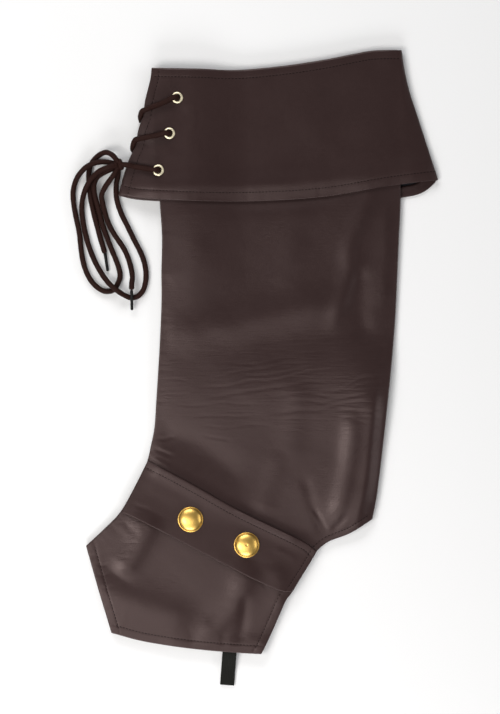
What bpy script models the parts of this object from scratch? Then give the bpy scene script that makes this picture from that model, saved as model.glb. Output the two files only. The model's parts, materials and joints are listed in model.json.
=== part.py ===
"""Turned-cuff boot cover of coated cloth, lying flat on its inner side.

Metres, +X to the heel side, +Y to the cuff, +Z up, origin on the surface it lies on,
at the middle of the cover. The tables below are in millimetres, as on a paper pattern.
"""
import math

import bpy
import bmesh
from mathutils import Vector

MM = 0.001

# Cloth and trims, in millimetres
CLOTH = 1.2
GAP = 0.4
PLY = CLOTH + GAP
LACE = 4.8
ELASTIC_WIDTH = 12.7
ELASTIC_THICK = 0.9
BUTTON_DIAMETER = 22.8
BUTTON_HEIGHT = 6.4
EYELET_OUTER = 10.4
EYELET_BORE = 5.5
EYELET_FLANGE = 0.8
EYELET_BARREL = 6.5
EYELET_HOLE = 7.2
EYELET_ROUND = 0.3
BUTTON_RIM = 1.1

# How the laid cover fills out, in millimetres
LACE_LIFT = 7.2
LIFT_FULL_X = -70.0
LIFT_NONE_X = -14.0
CUFF_FOOT_Y = 146.0
FLOOR_Y = 96.0
SEAM_ROLL = 1.6
SEAM_ROLL_WIDTH = 5.0
PUFF_WIDTH = 13.0
HEM_PUFF_SHARE = 0.85
HEM_PUFF_WIDTH = 16.0
CUFF_HEM_RISE = 2.2
CUFF_HEM_WIDTH = 17.0
CUFF_FOLD_RISE = 1.1
CUFF_FOLD_WIDTH = 3.0
CUFF_FREE_GAP = 0.9
CUFF_LIP = 2.2
CUFF_CLOSING_WIDTH = 22.0
CUFF_CLOSING_LEAST = 4.0
SEAM_FOLD_WIDTH = 14.0

# Height of the hollow between the two sides: y, height at mid width
PUFF = [(-260.0, 3.2), (-130.0, 3.0), (-70.0, 3.4), (80.0, 3.4), (140.0, 3.1), (285.0, 2.9)]

# Outlines, x, y; each list is one smooth run, and a corner ends a run
FRONT_SEAM = [
    (-110.7, -96.5), (-105.3, -84.4), (-101.9, -70.0), (-98.8, -54.0), (-97.1, -30.0),
    (-95.4, -4.0), (-93.8, 24.0), (-92.3, 60.0), (-92.4, 86.0), (-91.8, 118.0),
    (-93.8, 149.6), (-95.0, 190.0), (-97.5, 235.0), (-99.4, 267.3),
]
BACK_SEAM = [
    (97.4, -136.6), (102.9, -111.4), (108.5, -66.4), (112.4, -30.4), (116.0, 5.6),
    (119.0, 41.6), (121.0, 77.6), (122.7, 113.6), (124.5, 149.6), (124.0, 195.0),
    (122.6, 240.0), (121.2, 282.8),
]
SHAFT_TOP = [
    (-99.4, 267.3), (-57.8, 266.5), (-26.3, 265.7), (14.2, 269.2), (50.2, 274.4),
    (78.1, 279.6), (96.0, 282.2), (121.2, 282.8),
]
SHAFT_FOOT_SEAM = [(-110.7, -96.5), (-72.0, -114.5), (-26.8, -140.0), (16.0, -162.0), (41.5, -174.8)]
HEEL_HEM = [(41.5, -174.8), (47.5, -165.2), (58.3, -156.6), (77.2, -149.2), (97.4, -136.6)]
INSTEP_SEAM = [(-110.9, -97.0), (-118.4, -111.4), (-128.2, -130.8), (-142.5, -146.2), (-157.6, -160.6)]
TOE_HEM = [(-157.6, -160.6), (-152.6, -183.4), (-145.2, -210.4), (-137.4, -238.7)]
SOLE_HEM = [(-137.4, -238.7), (-108.5, -246.4), (-66.8, -252.7), (-30.0, -256.2), (-2.6, -257.8)]
HEEL_EDGE = [
    (-2.6, -257.8), (3.2, -246.4), (11.3, -228.4), (19.2, -210.4), (25.7, -201.4),
    (36.6, -183.4), (41.2, -175.4),
]
BAND_TOP = [(-104.6, -83.5), (-66.8, -103.3), (-21.8, -128.5), (32.2, -154.6), (47.5, -165.2)]
BAND_BOTTOM = [
    (-127.5, -130.8), (-102.8, -142.0), (-66.8, -160.9), (-18.2, -186.1), (12.4, -200.1),
    (24.6, -201.8),
]
BAND_FRONT = [(-127.5, -130.8), (-118.4, -111.4), (-110.0, -94.5), (-104.6, -83.5)]
BAND_REAR = [(24.6, -201.8), (36.6, -183.4), (47.5, -165.2)]

CUFF_TOP = [
    (-101.0, 268.9), (-57.8, 268.2), (-26.3, 267.4), (14.2, 270.9), (50.2, 276.1),
    (78.1, 281.3), (98.0, 284.2), (122.9, 284.6),
]
CUFF_FREE_EDGE = [
    (-129.8, 155.4), (-124.2, 175.0), (-119.2, 193.3), (-113.8, 212.0), (-108.6, 234.0),
    (-102.6, 257.0), (-101.0, 268.9),
]
CUFF_FREE_EDGE_INNER = [
    (-131.4, 154.4), (-126.6, 172.0), (-119.6, 193.3), (-113.8, 212.0), (-108.6, 234.0),
    (-102.6, 257.0), (-101.0, 268.9),
]
CUFF_FOLD = [
    (156.6, 168.8), (151.6, 183.8), (144.6, 205.4), (137.6, 227.0), (130.6, 248.6),
    (125.6, 270.2), (122.9, 284.6),
]
CUFF_HEM = [
    (-129.8, 155.4), (-108.5, 151.6), (-50.6, 149.1), (5.2, 149.9), (56.9, 153.7),
    (108.5, 162.4), (140.2, 166.7), (156.6, 168.8),
]
CUFF_HEM_INNER = [
    (-131.4, 154.4), (-108.5, 150.2), (-50.6, 147.8), (5.2, 147.6), (56.9, 148.5),
    (100.0, 150.6), (130.0, 153.8), (144.4, 158.4), (156.6, 168.8),
]

# Main folds of the outer side: ends x, y; half width; height, minus for a trough
FOLDS = [
    (86, 136, 77, 76, 9.0, 1.8),
    (77, 76, 52, 32, 9.0, 1.5),
    (99, 78, 84, 36, 8.0, -1.5),
    (-30, 138, -26, 52, 12.0, -0.9),
    (-84, 86, -60, 110, 9.0, 0.9),
    (-84, 20, -20, 33, 8.0, 1.0),
    (-20, 33, 34, 48, 8.0, 1.0),
    (-40, -6, 108, 2, 5.0, -0.9),
    (-28, -20, 106, -10, 5.0, -0.8),
    (-22, -33, 104, -22, 5.0, -0.9),
    (-14, -47, 98, -38, 5.0, -0.7),
    (21, -18, 22, -66, 7.0, 0.8),
    (72, -42, 62, -130, 8.5, 2.0),
    (-88, -80, -8, -102, 13.0, -1.6),
    (-108, -150, -136, -184, 12.0, 1.0),
    (-24, -204, -46, -228, 10.0, 1.0),
    (-17, -192, -16, -232, 6.0, -0.9),
]

# Where the panels' columns and rows stand, as shares of their sides
SHAFT_COLUMNS = 18
SHAFT_SEAM_COLUMNS = 14
SHAFT_ROWS = ([0.04 * i for i in range(6)] + [0.24 + 0.012 * i for i in range(14)]
              + [0.44 + 0.04 * i for i in range(15)])
SHAFT_INNER_COLUMNS = [0.04 * i for i in range(12)] + [0.48 + 0.13 * i for i in range(5)]
FOOT_ROWS = 12
FOOT_TOE_ROWS = 6
CUFF_COLUMNS = [0.03 * i for i in range(14)] + [0.47, 0.56, 0.65, 0.74, 0.82, 0.89, 0.945, 0.98, 0.994, 1.0]
CUFF_ROWS = [
    0.0, 0.1, 0.2, 0.29, 0.35, 0.39, 0.43, 0.5, 0.57, 0.62, 0.67, 0.76, 0.86, 0.94,
    0.981, 0.988, 0.994, 1.0,
]

# Buttons and eyelets: x, y
BUTTONS = [("button_front", -66.2, -136.6), ("button_rear", -15.8, -159.5)]
EYELETS = [(-78.0, 241.9), (-85.1, 210.0), (-95.0, 176.9)]

# Where the lace goes round the cuff's free edges: eyelet number, y at the outer and the inner side
LACE_TURNS = [(0, 230.4, 222.4), (1, 204.6, 195.6)]
LACE_PULL = 2.0
LACE_PULL_WIDTH = 8.0
LACE_BEND = 3.2
LACE_SLACK = 0.3
LACE_POINTS = 3.0

# The lace from the lowest pair of eyelets to the knot: x, y over the cuff, then x, y, z
LEAD_ON_CUFF = [(-108.0, 178.8), (-116.0, 180.2)]
LEAD_TO_KNOT = [(-121.6, 181.4, 14.2), (-125.4, 181.9, 13.9)]
LEAD_BELOW = [(-108.0, 179.2, 3.2), (-116.0, 180.8, 3.0), (-121.8, 181.8, 3.2), (-125.6, 182.3, 4.2)]

# The bow: knot centre and radii, then route points of the strands, x, y, z
KNOT = (-130.9, 182.0, 9.4)
KNOT_RADII = (5.2, 6.0, 5.2)
LOOP_LONG = [
    (-135.9, 180.7, 13.4), (-139.4, 179.7, 14.4), (-144.4, 177.8, 13.0), (-150.0, 174.6, 11.0),
    (-157.0, 166.9, 9.4), (-162.0, 156.6, 5.8), (-164.2, 145.5, 2.8), (-163.2, 132.5, 2.6),
    (-160.9, 120.2, 2.6), (-156.8, 106.2, 2.6), (-151.7, 94.0, 2.6), (-145.6, 83.4, 3.2),
    (-140.4, 76.6, 7.2), (-135.6, 71.9, 8.2), (-130.6, 68.0, 7.6), (-125.4, 64.8, 4.6),
    (-119.7, 62.8, 2.6), (-113.4, 64.4, 2.6), (-108.6, 70.4, 2.6), (-106.4, 80.9, 2.6),
    (-107.4, 92.3, 2.6), (-111.0, 103.0, 2.6), (-116.6, 114.0, 2.6), (-122.6, 126.2, 2.6),
    (-129.1, 139.7, 2.6), (-132.7, 151.4, 2.6), (-133.0, 163.6, 3.2), (-131.0, 171.4, 4.2),
    (-130.4, 176.2, 5.4),
]
LOOP_SHORT = [
    (-137.2, 183.7, 8.4), (-140.8, 184.6, 8.1), (-145.8, 184.7, 8.0), (-151.2, 184.1, 7.9),
    (-156.4, 182.2, 7.8), (-161.4, 179.0, 6.9), (-168.3, 170.8, 3.4), (-171.8, 160.0, 2.6),
    (-171.6, 148.1, 2.6), (-169.2, 134.6, 2.6), (-166.3, 120.2, 2.6), (-164.6, 104.2, 2.6),
    (-161.8, 90.6, 2.6), (-157.0, 79.9, 2.6), (-150.8, 72.6, 2.6), (-143.5, 68.6, 2.6),
    (-136.3, 69.5, 2.6), (-132.1, 74.9, 2.6), (-129.7, 83.0, 2.6), (-132.1, 93.3, 2.6),
    (-136.3, 103.7, 2.6), (-141.3, 116.3, 2.6), (-145.5, 128.4, 2.6), (-149.4, 143.3, 4.6),
    (-152.4, 155.3, 5.8), (-153.0, 164.6, 6.2), (-149.6, 171.4, 6.3), (-142.8, 175.8, 6.8),
    (-136.6, 178.5, 7.7),
]
END_LEFT = [
    (-134.7, 187.4, 13.0), (-136.0, 189.8, 13.3), (-138.6, 192.2, 11.8), (-142.8, 193.2, 8.4),
    (-148.2, 191.2, 4.6), (-153.2, 187.0, 2.6), (-157.0, 180.2, 2.6), (-158.0, 172.0, 2.6),
    (-157.5, 164.0, 2.6), (-156.0, 151.4, 2.6), (-153.9, 141.0, 2.6), (-151.8, 132.5, 2.6),
    (-146.8, 114.0, 2.6), (-143.3, 102.6, 2.6),
]
END_RIGHT = [
    (-133.6, 175.4, 12.0), (-135.0, 172.8, 12.2), (-138.2, 168.6, 10.4), (-143.0, 162.0, 7.6),
    (-146.2, 154.4, 5.8), (-145.0, 146.4, 5.0), (-140.8, 131.4, 3.2), (-135.2, 120.2, 2.6),
    (-126.2, 106.7, 2.6), (-121.0, 94.0, 2.6), (-118.6, 82.4, 5.2), (-119.0, 75.6, 7.9),
    (-119.2, 69.6, 8.7),
]
AGLET_DIAMETER = 2.6
AGLETS = [
    ("aglet_left", (-143.2, 102.2, 2.6), (-140.9, 86.6, 1.5)),
    ("aglet_right", (-119.2, 68.6, 8.6), (-119.0, 51.6, 3.6)),
]
STIRRUP_TOP = (-31.2, -256.6)
STIRRUP_DROP = 29.0
STIRRUP_TILT = math.radians(4.3)
STIRRUP_INSIDE = 9.0
STIRRUP_REST = 0.1
STIRRUP_FOLD = 0.35


# ---------------------------------------------------------------- curves

def smooth_curve(points, steps=6):
    """Points read from one smooth curve through the given ones."""
    rows = [Vector(p) for p in points]
    if len(rows) == 2:
        return rows
    first = rows[0] * 2 - rows[1]
    last = rows[-1] * 2 - rows[-2]
    ext = [first] + rows + [last]
    out = []
    for i in range(1, len(ext) - 2):
        p0, p1, p2, p3 = ext[i - 1:i + 3]
        for k in range(steps):
            t = k / steps
            out.append(0.5 * (2 * p1 + (p2 - p0) * t + (2 * p0 - 5 * p1 + 4 * p2 - p3) * t * t
                              + (3 * p1 - p0 - 3 * p2 + p3) * t ** 3))
    out.append(rows[-1])
    return out


def along(line, t):
    """The point at share t of a line's length."""
    spans = [(b - a).length for a, b in zip(line, line[1:])]
    left = t * sum(spans)
    for start, end, span in zip(line, line[1:], spans):
        if left <= span:
            return start.lerp(end, left / span)
        left -= span
    return line[-1].copy()


def edge(*runs):
    """A function of 0..1 along runs that meet in corners: (share where the run ends, points)."""
    lines = [(share, smooth_curve(points)) for share, points in runs]

    def at(t):
        start = 0.0
        for share, line in lines:
            if t <= share + 1e-9:
                return along(line, (t - start) / (share - start))
            start = share
        return lines[-1][1][-1]
    return at


def table(rows, x):
    """Straight-line reading of a two-column table."""
    if x <= rows[0][0]:
        return rows[0][1]
    for (x0, y0), (x1, y1) in zip(rows, rows[1:]):
        if x <= x1:
            return y0 + (y1 - y0) * (x - x0) / (x1 - x0)
    return rows[-1][1]


def ease(t):
    """0 to 1 with soft ends."""
    t = min(1.0, max(0.0, t))
    return t * t * (3 - 2 * t)


def line_distance(x, y, line):
    """Distance to a line of points in the plane."""
    best = 1e9
    for a, b in zip(line, line[1:]):
        dx = b[0] - a[0]
        dy = b[1] - a[1]
        t = ((x - a[0]) * dx + (y - a[1]) * dy) / (dx * dx + dy * dy)
        t = min(1.0, max(0.0, t))
        best = min(best, math.hypot(x - a[0] - t * dx, y - a[1] - t * dy))
    return best


# ---------------------------------------------------------------- heights of the layers

FRONT_X = [(y, x) for x, y in FRONT_SEAM]
BACK_X = [(y, x) for x, y in BACK_SEAM]
SEAMS = [INSTEP_SEAM[::-1] + FRONT_SEAM, BACK_SEAM]
OPEN_HEMS = [HEEL_HEM, TOE_HEM, SOLE_HEM, HEEL_EDGE]


def lift(x, y):
    """The laced side stands off the surface by the lace that runs under it."""
    across = ease((LIFT_NONE_X - x) / (LIFT_NONE_X - LIFT_FULL_X))
    return LACE_LIFT * across * ease((y - FLOOR_Y) / (CUFF_FOOT_Y - FLOOR_Y))


def seam_distance(x, y):
    """Distance in from the two side seams, nothing outside them."""
    if y > FRONT_SEAM[0][1] and x < table(FRONT_X, y):
        return 0.0
    if y > BACK_SEAM[0][1] and x > table(BACK_X, y):
        return 0.0
    return min(line_distance(x, y, seam) for seam in SEAMS)


def inner_under(x, y):
    """Underside of the inner side: flat on the surface, on the cuff's ply near the top."""
    step = PLY * ease((y - FLOOR_Y) / (CUFF_FOOT_Y - FLOOR_Y))
    roll = SEAM_ROLL * math.exp(-seam_distance(x, y) / SEAM_ROLL_WIDTH)
    return lift(x, y) + step + roll


def fold_height(x, y):
    """Sum of the main folds, each a soft ridge or trough between two points."""
    total = 0.0
    for x0, y0, x1, y1, half, height in FOLDS:
        dx = x1 - x0
        dy = y1 - y0
        t = ((x - x0) * dx + (y - y0) * dy) / (dx * dx + dy * dy)
        off = math.hypot(x - x0 - t * dx, y - y0 - t * dy) / half
        if off < 3 and -0.25 < t < 1.25:
            ends = ease((t + 0.2) / 0.4) * ease((1.2 - t) / 0.4)
            total += height * ends * math.exp(-off * off)
    return total


def outer_under(x, y):
    """Underside of the outer side: closed at the seams, filled out between them."""
    seam = seam_distance(x, y)
    fill = 1 - math.exp(-seam / PUFF_WIDTH)
    hem = min(line_distance(x, y, line) for line in OPEN_HEMS)
    fill *= HEM_PUFF_SHARE + (1 - HEM_PUFF_SHARE) * (1 - math.exp(-hem / HEM_PUFF_WIDTH))
    folds = fold_height(x, y) * ease(seam / SEAM_FOLD_WIDTH)
    return inner_under(x, y) + PLY + table(PUFF, y) * fill + folds


def stacked(height, x, y, plies):
    """Height at so many plies above a layer's underside, measured square to it."""
    step = 1.0
    slope_x = (height(x + step, y) - height(x - step, y)) / (2 * step)
    slope_y = (height(x, y + step) - height(x, y - step)) / (2 * step)
    return height(x, y) + plies * PLY * math.sqrt(1 + slope_x ** 2 + slope_y ** 2)


def round_drop(distance, radius):
    """Drop of a quarter round at an edge, all of it at the edge and none a radius in."""
    inside = min(1.0, max(0.0, distance / radius))
    return radius * (1 - math.sqrt(1 - (1 - inside) ** 2))


def cuff_inner_top(x, y):
    """Upper face of the cuff's inner side, with its rolled fold and top edge."""
    fold = line_distance(x, y, CUFF_FOLD)
    top = line_distance(x, y, CUFF_TOP)
    return (lift(x, y) + CLOTH + CUFF_FOLD_RISE * math.exp(-fold / CUFF_FOLD_WIDTH)
            + round_drop(top, CUFF_LIP) * PLY / CUFF_LIP)


def cuff_outer_under(x, y):
    """Underside of the cuff's outer side, over the shaft and down to its edges."""
    front = table(FRONT_X, y)
    back = table(BACK_X, y)
    inside_x = min(back, max(front, x))
    over = stacked(outer_under, inside_x, y, 1)
    hem = line_distance(x, y, CUFF_HEM)
    over += CUFF_HEM_RISE * math.exp(-hem / CUFF_HEM_WIDTH)
    meet = cuff_inner_top(x, y)
    if x > back:
        flare = line_distance(back, y, CUFF_FOLD)
        share = min(1.0, line_distance(x, y, CUFF_FOLD) / flare)
        over = meet + GAP + (over - meet - GAP) * math.sqrt(1 - (1 - share) ** 2)
    elif x < front:
        flare = line_distance(front, y, CUFF_FREE_EDGE)
        share = min(1.0, line_distance(x, y, CUFF_FREE_EDGE) / flare)
        closing = ease((flare - CUFF_CLOSING_LEAST) / CUFF_CLOSING_WIDTH) * (1 - ease(share))
        over -= (over - meet - CUFF_FREE_GAP) * closing
    top = line_distance(x, y, CUFF_TOP)
    return max(meet + GAP, over - round_drop(top, CUFF_LIP) * PLY / CUFF_LIP)


def cuff_outer_top(x, y):
    """Upper face of the cuff's outer side."""
    return stacked(cuff_outer_under, x, y, CLOTH / PLY)


def band_top(x, y):
    """Upper face of the instep band."""
    return stacked(outer_under, x, y, 2) - GAP


# ---------------------------------------------------------------- scene helpers

def clear_scene():
    for old in list(bpy.data.objects):
        bpy.data.objects.remove(old, do_unlink=True)


def new_collection(name):
    made = bpy.data.collections.new(name)
    bpy.context.scene.collection.children.link(made)
    return made


def material(name, colour, roughness, metallic=0.0):
    made = bpy.data.materials.new(name)
    made.use_nodes = True
    shader = made.node_tree.nodes["Principled BSDF"]
    shader.inputs["Base Color"].default_value = (*colour, 1.0)
    shader.inputs["Roughness"].default_value = roughness
    shader.inputs["Metallic"].default_value = metallic
    return made


def add_object(name, data, finish, group):
    made = bpy.data.objects.new(name, data)
    group.objects.link(made)
    if finish is not None:
        data.materials.append(finish)
    return made


# ---------------------------------------------------------------- cloth panels

def spaced(count, more=()):
    """Even shares from 0 to 1, with a few more put in."""
    return sorted([i / count for i in range(count + 1)] + list(more))


def panel(name, sides, height, across, up, finish, group, outward=1.0):
    """A cloth wall over a patch between four edges: bottom, top, left and right."""
    bottom, top, left, right = sides
    mesh = bpy.data.meshes.new(name)
    bm = bmesh.new()
    bmesh.ops.create_grid(bm, x_segments=len(across) - 1, y_segments=len(up) - 1, size=1.0)
    corners = (bottom(0), bottom(1), top(0), top(1))
    for vert in bm.verts:
        u = across[round((vert.co.x + 1) / 2 * (len(across) - 1))]
        v = up[round((vert.co.y + 1) / 2 * (len(up) - 1))]
        low = corners[0].lerp(corners[1], u)
        high = corners[2].lerp(corners[3], u)
        spot = (bottom(u) * (1 - v) + top(u) * v + left(v) * (1 - u) + right(v) * u
                - low.lerp(high, v))
        vert.co = Vector((spot.x, spot.y, height(spot.x, spot.y))) * MM
    bm.to_mesh(mesh)
    bm.free()
    made = add_object(name, mesh, finish, group)
    wall = made.modifiers.new("wall", "SOLIDIFY")
    wall.thickness = CLOTH * MM
    wall.offset = outward
    mesh.shade_smooth()
    mesh.set_sharp_from_angle(angle=math.radians(50))
    return made


def make_shaft(finish, group):
    # most of the lower edge lies on the seam under the band, the rest is the heel's hem
    low = edge((SHAFT_SEAM_COLUMNS / SHAFT_COLUMNS, SHAFT_FOOT_SEAM), (1.0, HEEL_HEM))
    top = edge((1.0, SHAFT_TOP))
    front = edge((1.0, FRONT_SEAM))
    back = edge((1.0, BACK_SEAM))
    sides = (low, top, front, back)
    across = spaced(SHAFT_COLUMNS, (0.02, 0.98))
    panel("shaft_outer", sides, outer_under, across, SHAFT_ROWS, finish, group)
    panel("shaft_inner", sides, inner_under, SHAFT_INNER_COLUMNS, spaced(16), finish, group)


def make_foot(finish, group):
    # cut short of the shaft by the seam's gap, square to the seam
    seam = [(x - GAP * 0.45, y - GAP * 1.2) for x, y in SHAFT_FOOT_SEAM]
    top = edge((1.0, seam))
    sole = edge((1.0, SOLE_HEM))
    # the front side climbs the toe's hem, then the instep seam
    front = edge((FOOT_TOE_ROWS / FOOT_ROWS, TOE_HEM[::-1]), (1.0, INSTEP_SEAM[::-1]))
    heel = edge((1.0, HEEL_EDGE))
    sides = (sole, top, front, heel)
    panel("foot_outer", sides, outer_under, spaced(12), spaced(FOOT_ROWS), finish, group)
    panel("foot_inner", sides, inner_under, spaced(8), spaced(8), finish, group)


def pulled(points):
    """The free edge is drawn in a little where the lace goes round it."""
    out = []
    for x, y in [(p.x, p.y) for p in smooth_curve([(*p, 0.0) for p in points], 4)]:
        pull = sum(math.exp(-((y - (a + b) / 2) / LACE_PULL_WIDTH) ** 2) for _, a, b in LACE_TURNS)
        out.append((x + LACE_PULL * pull, y))
    return out


def free_edge_x(y):
    """The pulled free edge's place across, at a height."""
    return table([(b, a) for a, b in pulled(CUFF_FREE_EDGE)], y)


def eyelet_cutter(name, height, cutters):
    """One rod through the cloth at each eyelet."""
    mesh = bpy.data.meshes.new(name)
    bm = bmesh.new()
    for x, y in EYELETS:
        made = bmesh.ops.create_cone(bm, cap_ends=True, segments=16, radius1=EYELET_HOLE / 2 * MM,
                                     radius2=EYELET_HOLE / 2 * MM, depth=8.0 * MM)
        bmesh.ops.translate(bm, verts=made["verts"], vec=Vector((x, y, height(x, y))) * MM)
    bm.to_mesh(mesh)
    bm.free()
    cutter = add_object(name, mesh, None, cutters)
    cutter.hide_render = True
    cutter.display_type = "WIRE"
    return cutter


def cuff_sides(hem, free_edge):
    return (edge((1.0, hem)), edge((1.0, CUFF_TOP)), edge((1.0, pulled(free_edge))), edge((1.0, CUFF_FOLD)))


def make_cuff(finish, group, cutters):
    top_side = panel("cuff_outer", cuff_sides(CUFF_HEM, CUFF_FREE_EDGE), cuff_outer_under,
                     CUFF_COLUMNS, CUFF_ROWS, finish, group)
    low_side = panel("cuff_inner", cuff_sides(CUFF_HEM_INNER, CUFF_FREE_EDGE_INNER), cuff_inner_top,
                     CUFF_COLUMNS, CUFF_ROWS, finish, group, outward=-1.0)
    for side, height, name in ((top_side, cuff_outer_top, "outer_holes"),
                               (low_side, lift, "inner_holes")):
        holes = side.modifiers.new("eyelet holes", "BOOLEAN")
        holes.operation = "DIFFERENCE"
        holes.solver = "EXACT"
        holes.object = eyelet_cutter(name, height, cutters)


def make_band(finish, group):
    sides = (edge((1.0, BAND_BOTTOM)), edge((1.0, BAND_TOP)),
             edge((1.0, BAND_FRONT)), edge((1.0, BAND_REAR)))

    def under(x, y):
        return stacked(outer_under, x, y, 1)
    panel("instep_band", sides, under, spaced(16), spaced(5), finish, group)


# ---------------------------------------------------------------- metal

def turned(name, profile, segments, finish, group):
    """A profile of radius and height turned round Z, its outer side first from the top."""
    mesh = bpy.data.meshes.new(name)
    points = [(r * MM, 0.0, z * MM) for r, z in profile]
    mesh.from_pydata(points, [(i, i + 1) for i in range(len(points) - 1)], [])
    made = add_object(name, mesh, finish, group)
    screw = made.modifiers.new("turned", "SCREW")
    screw.axis = "Z"
    screw.steps = segments
    screw.render_steps = segments
    screw.use_merge_vertices = True
    screw.merge_threshold = 0.00001
    screw.use_smooth_shade = True
    return made


def surface_frame(height, x, y, reach):
    """Where a round piece sits: its centre height and its tilt, from the surface round it."""
    rise_x = (height(x + reach, y) - height(x - reach, y)) / (2 * reach)
    rise_y = (height(x, y + reach) - height(x, y - reach)) / (2 * reach)
    normal = Vector((-rise_x, -rise_y, 1.0)).normalized()
    top = -1e9
    for i in range(16):
        turn = 2 * math.pi * i / 16
        dx = reach * math.cos(turn)
        dy = reach * math.sin(turn)
        top = max(top, height(x + dx, y + dy) - rise_x * dx - rise_y * dy)
    return max(top, height(x, y)), normal


def seat(made, x, y, z, normal):
    made.location = Vector((x, y, z)) * MM
    made.rotation_mode = "QUATERNION"
    made.rotation_quaternion = Vector((0, 0, 1)).rotation_difference(normal)


def make_buttons(finish, group):
    radius = BUTTON_DIAMETER / 2
    crown = BUTTON_HEIGHT - BUTTON_RIM
    dome = [(0.0, BUTTON_HEIGHT)]
    for degrees in (75, 58, 42, 28, 15, 0):
        turn = math.radians(degrees)
        dome.append((radius * math.cos(turn), BUTTON_RIM + crown * math.sin(turn)))
    profile = dome + [(radius - 0.3, 0.2), (radius - 0.9, 0.0), (0.0, 0.0)]
    for name, x, y in BUTTONS:
        z, normal = surface_frame(band_top, x, y, radius - 1.0)
        seat(turned(name, profile, 28, finish, group), x, y, z + GAP, normal)


def make_eyelets(finish, group):
    outer = EYELET_OUTER / 2
    barrel = EYELET_BARREL / 2
    bore = EYELET_BORE / 2
    low = EYELET_ROUND
    profile = [
        (bore, low), (bore + low, EYELET_FLANGE), (outer - 2 * low, EYELET_FLANGE), (outer, low),
        (outer, 0.0), (barrel, 0.0), (barrel, -PLY), (bore, -PLY), (bore, low),
    ]
    for number, (x, y) in enumerate(EYELETS, 1):
        z, normal = surface_frame(cuff_outer_top, x, y, outer)
        seat(turned(f"eyelet_outer_{number}", profile, 20, finish, group), x, y, z + GAP, normal)
        z, normal = surface_frame(lift, x, y, outer)
        seat(turned(f"eyelet_inner_{number}", profile, 20, finish, group), x, y, z - GAP, -normal)


# ---------------------------------------------------------------- lace and elastic

def tube(name, route, diameter, finish, group, spacing, sides=2):
    """A round cord through route points, with filled ends."""
    line = smooth_curve(route, 8)
    length = sum((b - a).length for a, b in zip(line, line[1:]))
    count = max(4, round(length / spacing))
    curve = bpy.data.curves.new(name, "CURVE")
    curve.dimensions = "3D"
    curve.bevel_depth = diameter / 2 * MM
    curve.bevel_resolution = sides
    curve.use_fill_caps = True
    spline = curve.splines.new("POLY")
    spline.points.add(count)
    for i, point in enumerate(spline.points):
        point.co = (*(along(line, i / count) * MM), 1.0)
    return add_object(name, curve, finish, group)


def eyelet_lead(x, y, height, up):
    """Points of a lace coming out of an eyelet and bending over its flange towards -X."""
    start = height - up * EYELET_FLANGE
    knee = height + up * (EYELET_FLANGE + GAP)
    points = [(x, y, start), (x, y, (start + knee) / 2)]
    for degrees in (0, 30, 60, 90):
        turn = math.radians(degrees)
        points.append((x - LACE_BEND * (1 - math.cos(turn)), y, knee + up * LACE_BEND * math.sin(turn)))
    return points


def edge_turn(y_out, y_in):
    """Points of a lace going round the cuff's two free edges, from the outer side to the inner."""
    clear = LACE / 2 + GAP
    y_mid = (y_out + y_in) / 2
    edge_x = free_edge_x(y_mid)
    top = cuff_outer_top(edge_x + 2.0, y_mid) + clear + 0.5
    low = lift(edge_x, y_mid) - clear - 0.5
    out = []
    for degrees in range(90, -91, -30):
        turn = math.radians(degrees)
        y = y_mid + (y_out - y_in) / 2 * math.sin(turn)
        x = free_edge_x(y) - GAP - (clear + LACE_SLACK) * math.cos(turn)
        out.append((x, y, (top + low) / 2 + (top - low) / 2 * math.sin(turn)))
    return out


def make_lacing(finish, group):
    clear = LACE / 2 + GAP
    for number, (eye, y_out, y_in) in enumerate(LACE_TURNS, 1):
        x, y = EYELETS[eye]
        run = free_edge_x((y_out + y_in) / 2) - x
        over = []
        for share in (0.4, 0.65, 0.85):
            px = x + run * share
            py = y + (y_out - y) * share
            over.append((px, py, cuff_outer_top(px + 1.5, py) + clear + 0.7))
        below = [(x + run * share, y + (y_in - y) * share, lift(x, y) - clear - LACE_SLACK)
                 for share in (0.7, 0.4)]
        first = eyelet_lead(x, y, cuff_outer_top(x, y), 1.0)
        last = eyelet_lead(x, y, lift(x, y), -1.0)[::-1]
        route = first + over + edge_turn(y_out, y_in) + below + last
        tube(f"lace_turn_{number}", route, LACE, finish, group, LACE_POINTS)


def make_leads(finish, group):
    x, y = EYELETS[2]
    clear = LACE / 2 + GAP
    on_cuff = [(px, py, cuff_outer_top(px, py) + clear + LACE_SLACK) for px, py in LEAD_ON_CUFF]
    over = eyelet_lead(x, y, cuff_outer_top(x, y), 1.0) + on_cuff + LEAD_TO_KNOT
    tube("lace_lead_outer", over, LACE, finish, group, LACE_POINTS)
    under = eyelet_lead(x, y, lift(x, y), -1.0) + LEAD_BELOW
    tube("lace_lead_inner", under, LACE, finish, group, LACE_POINTS)


def make_knot(finish, group):
    mesh = bpy.data.meshes.new("lace_knot")
    bm = bmesh.new()
    bmesh.ops.create_uvsphere(bm, u_segments=16, v_segments=10, radius=1.0)
    bmesh.ops.scale(bm, vec=Vector(KNOT_RADII) * MM, verts=bm.verts)
    bm.to_mesh(mesh)
    bm.free()
    mesh.shade_smooth()
    made = add_object("lace_knot", mesh, finish, group)
    made.location = Vector(KNOT) * MM


def make_bow(finish, tip, group):
    spacing = LACE * 1.8
    for name, route in (("lace_loop_long", LOOP_LONG), ("lace_loop_short", LOOP_SHORT),
                        ("lace_end_left", END_LEFT), ("lace_end_right", END_RIGHT)):
        tube(name, route, LACE, finish, group, spacing)
    for name, start, end in AGLETS:
        tube(name, [start, end], AGLET_DIAMETER, tip, group, LACE)


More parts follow.
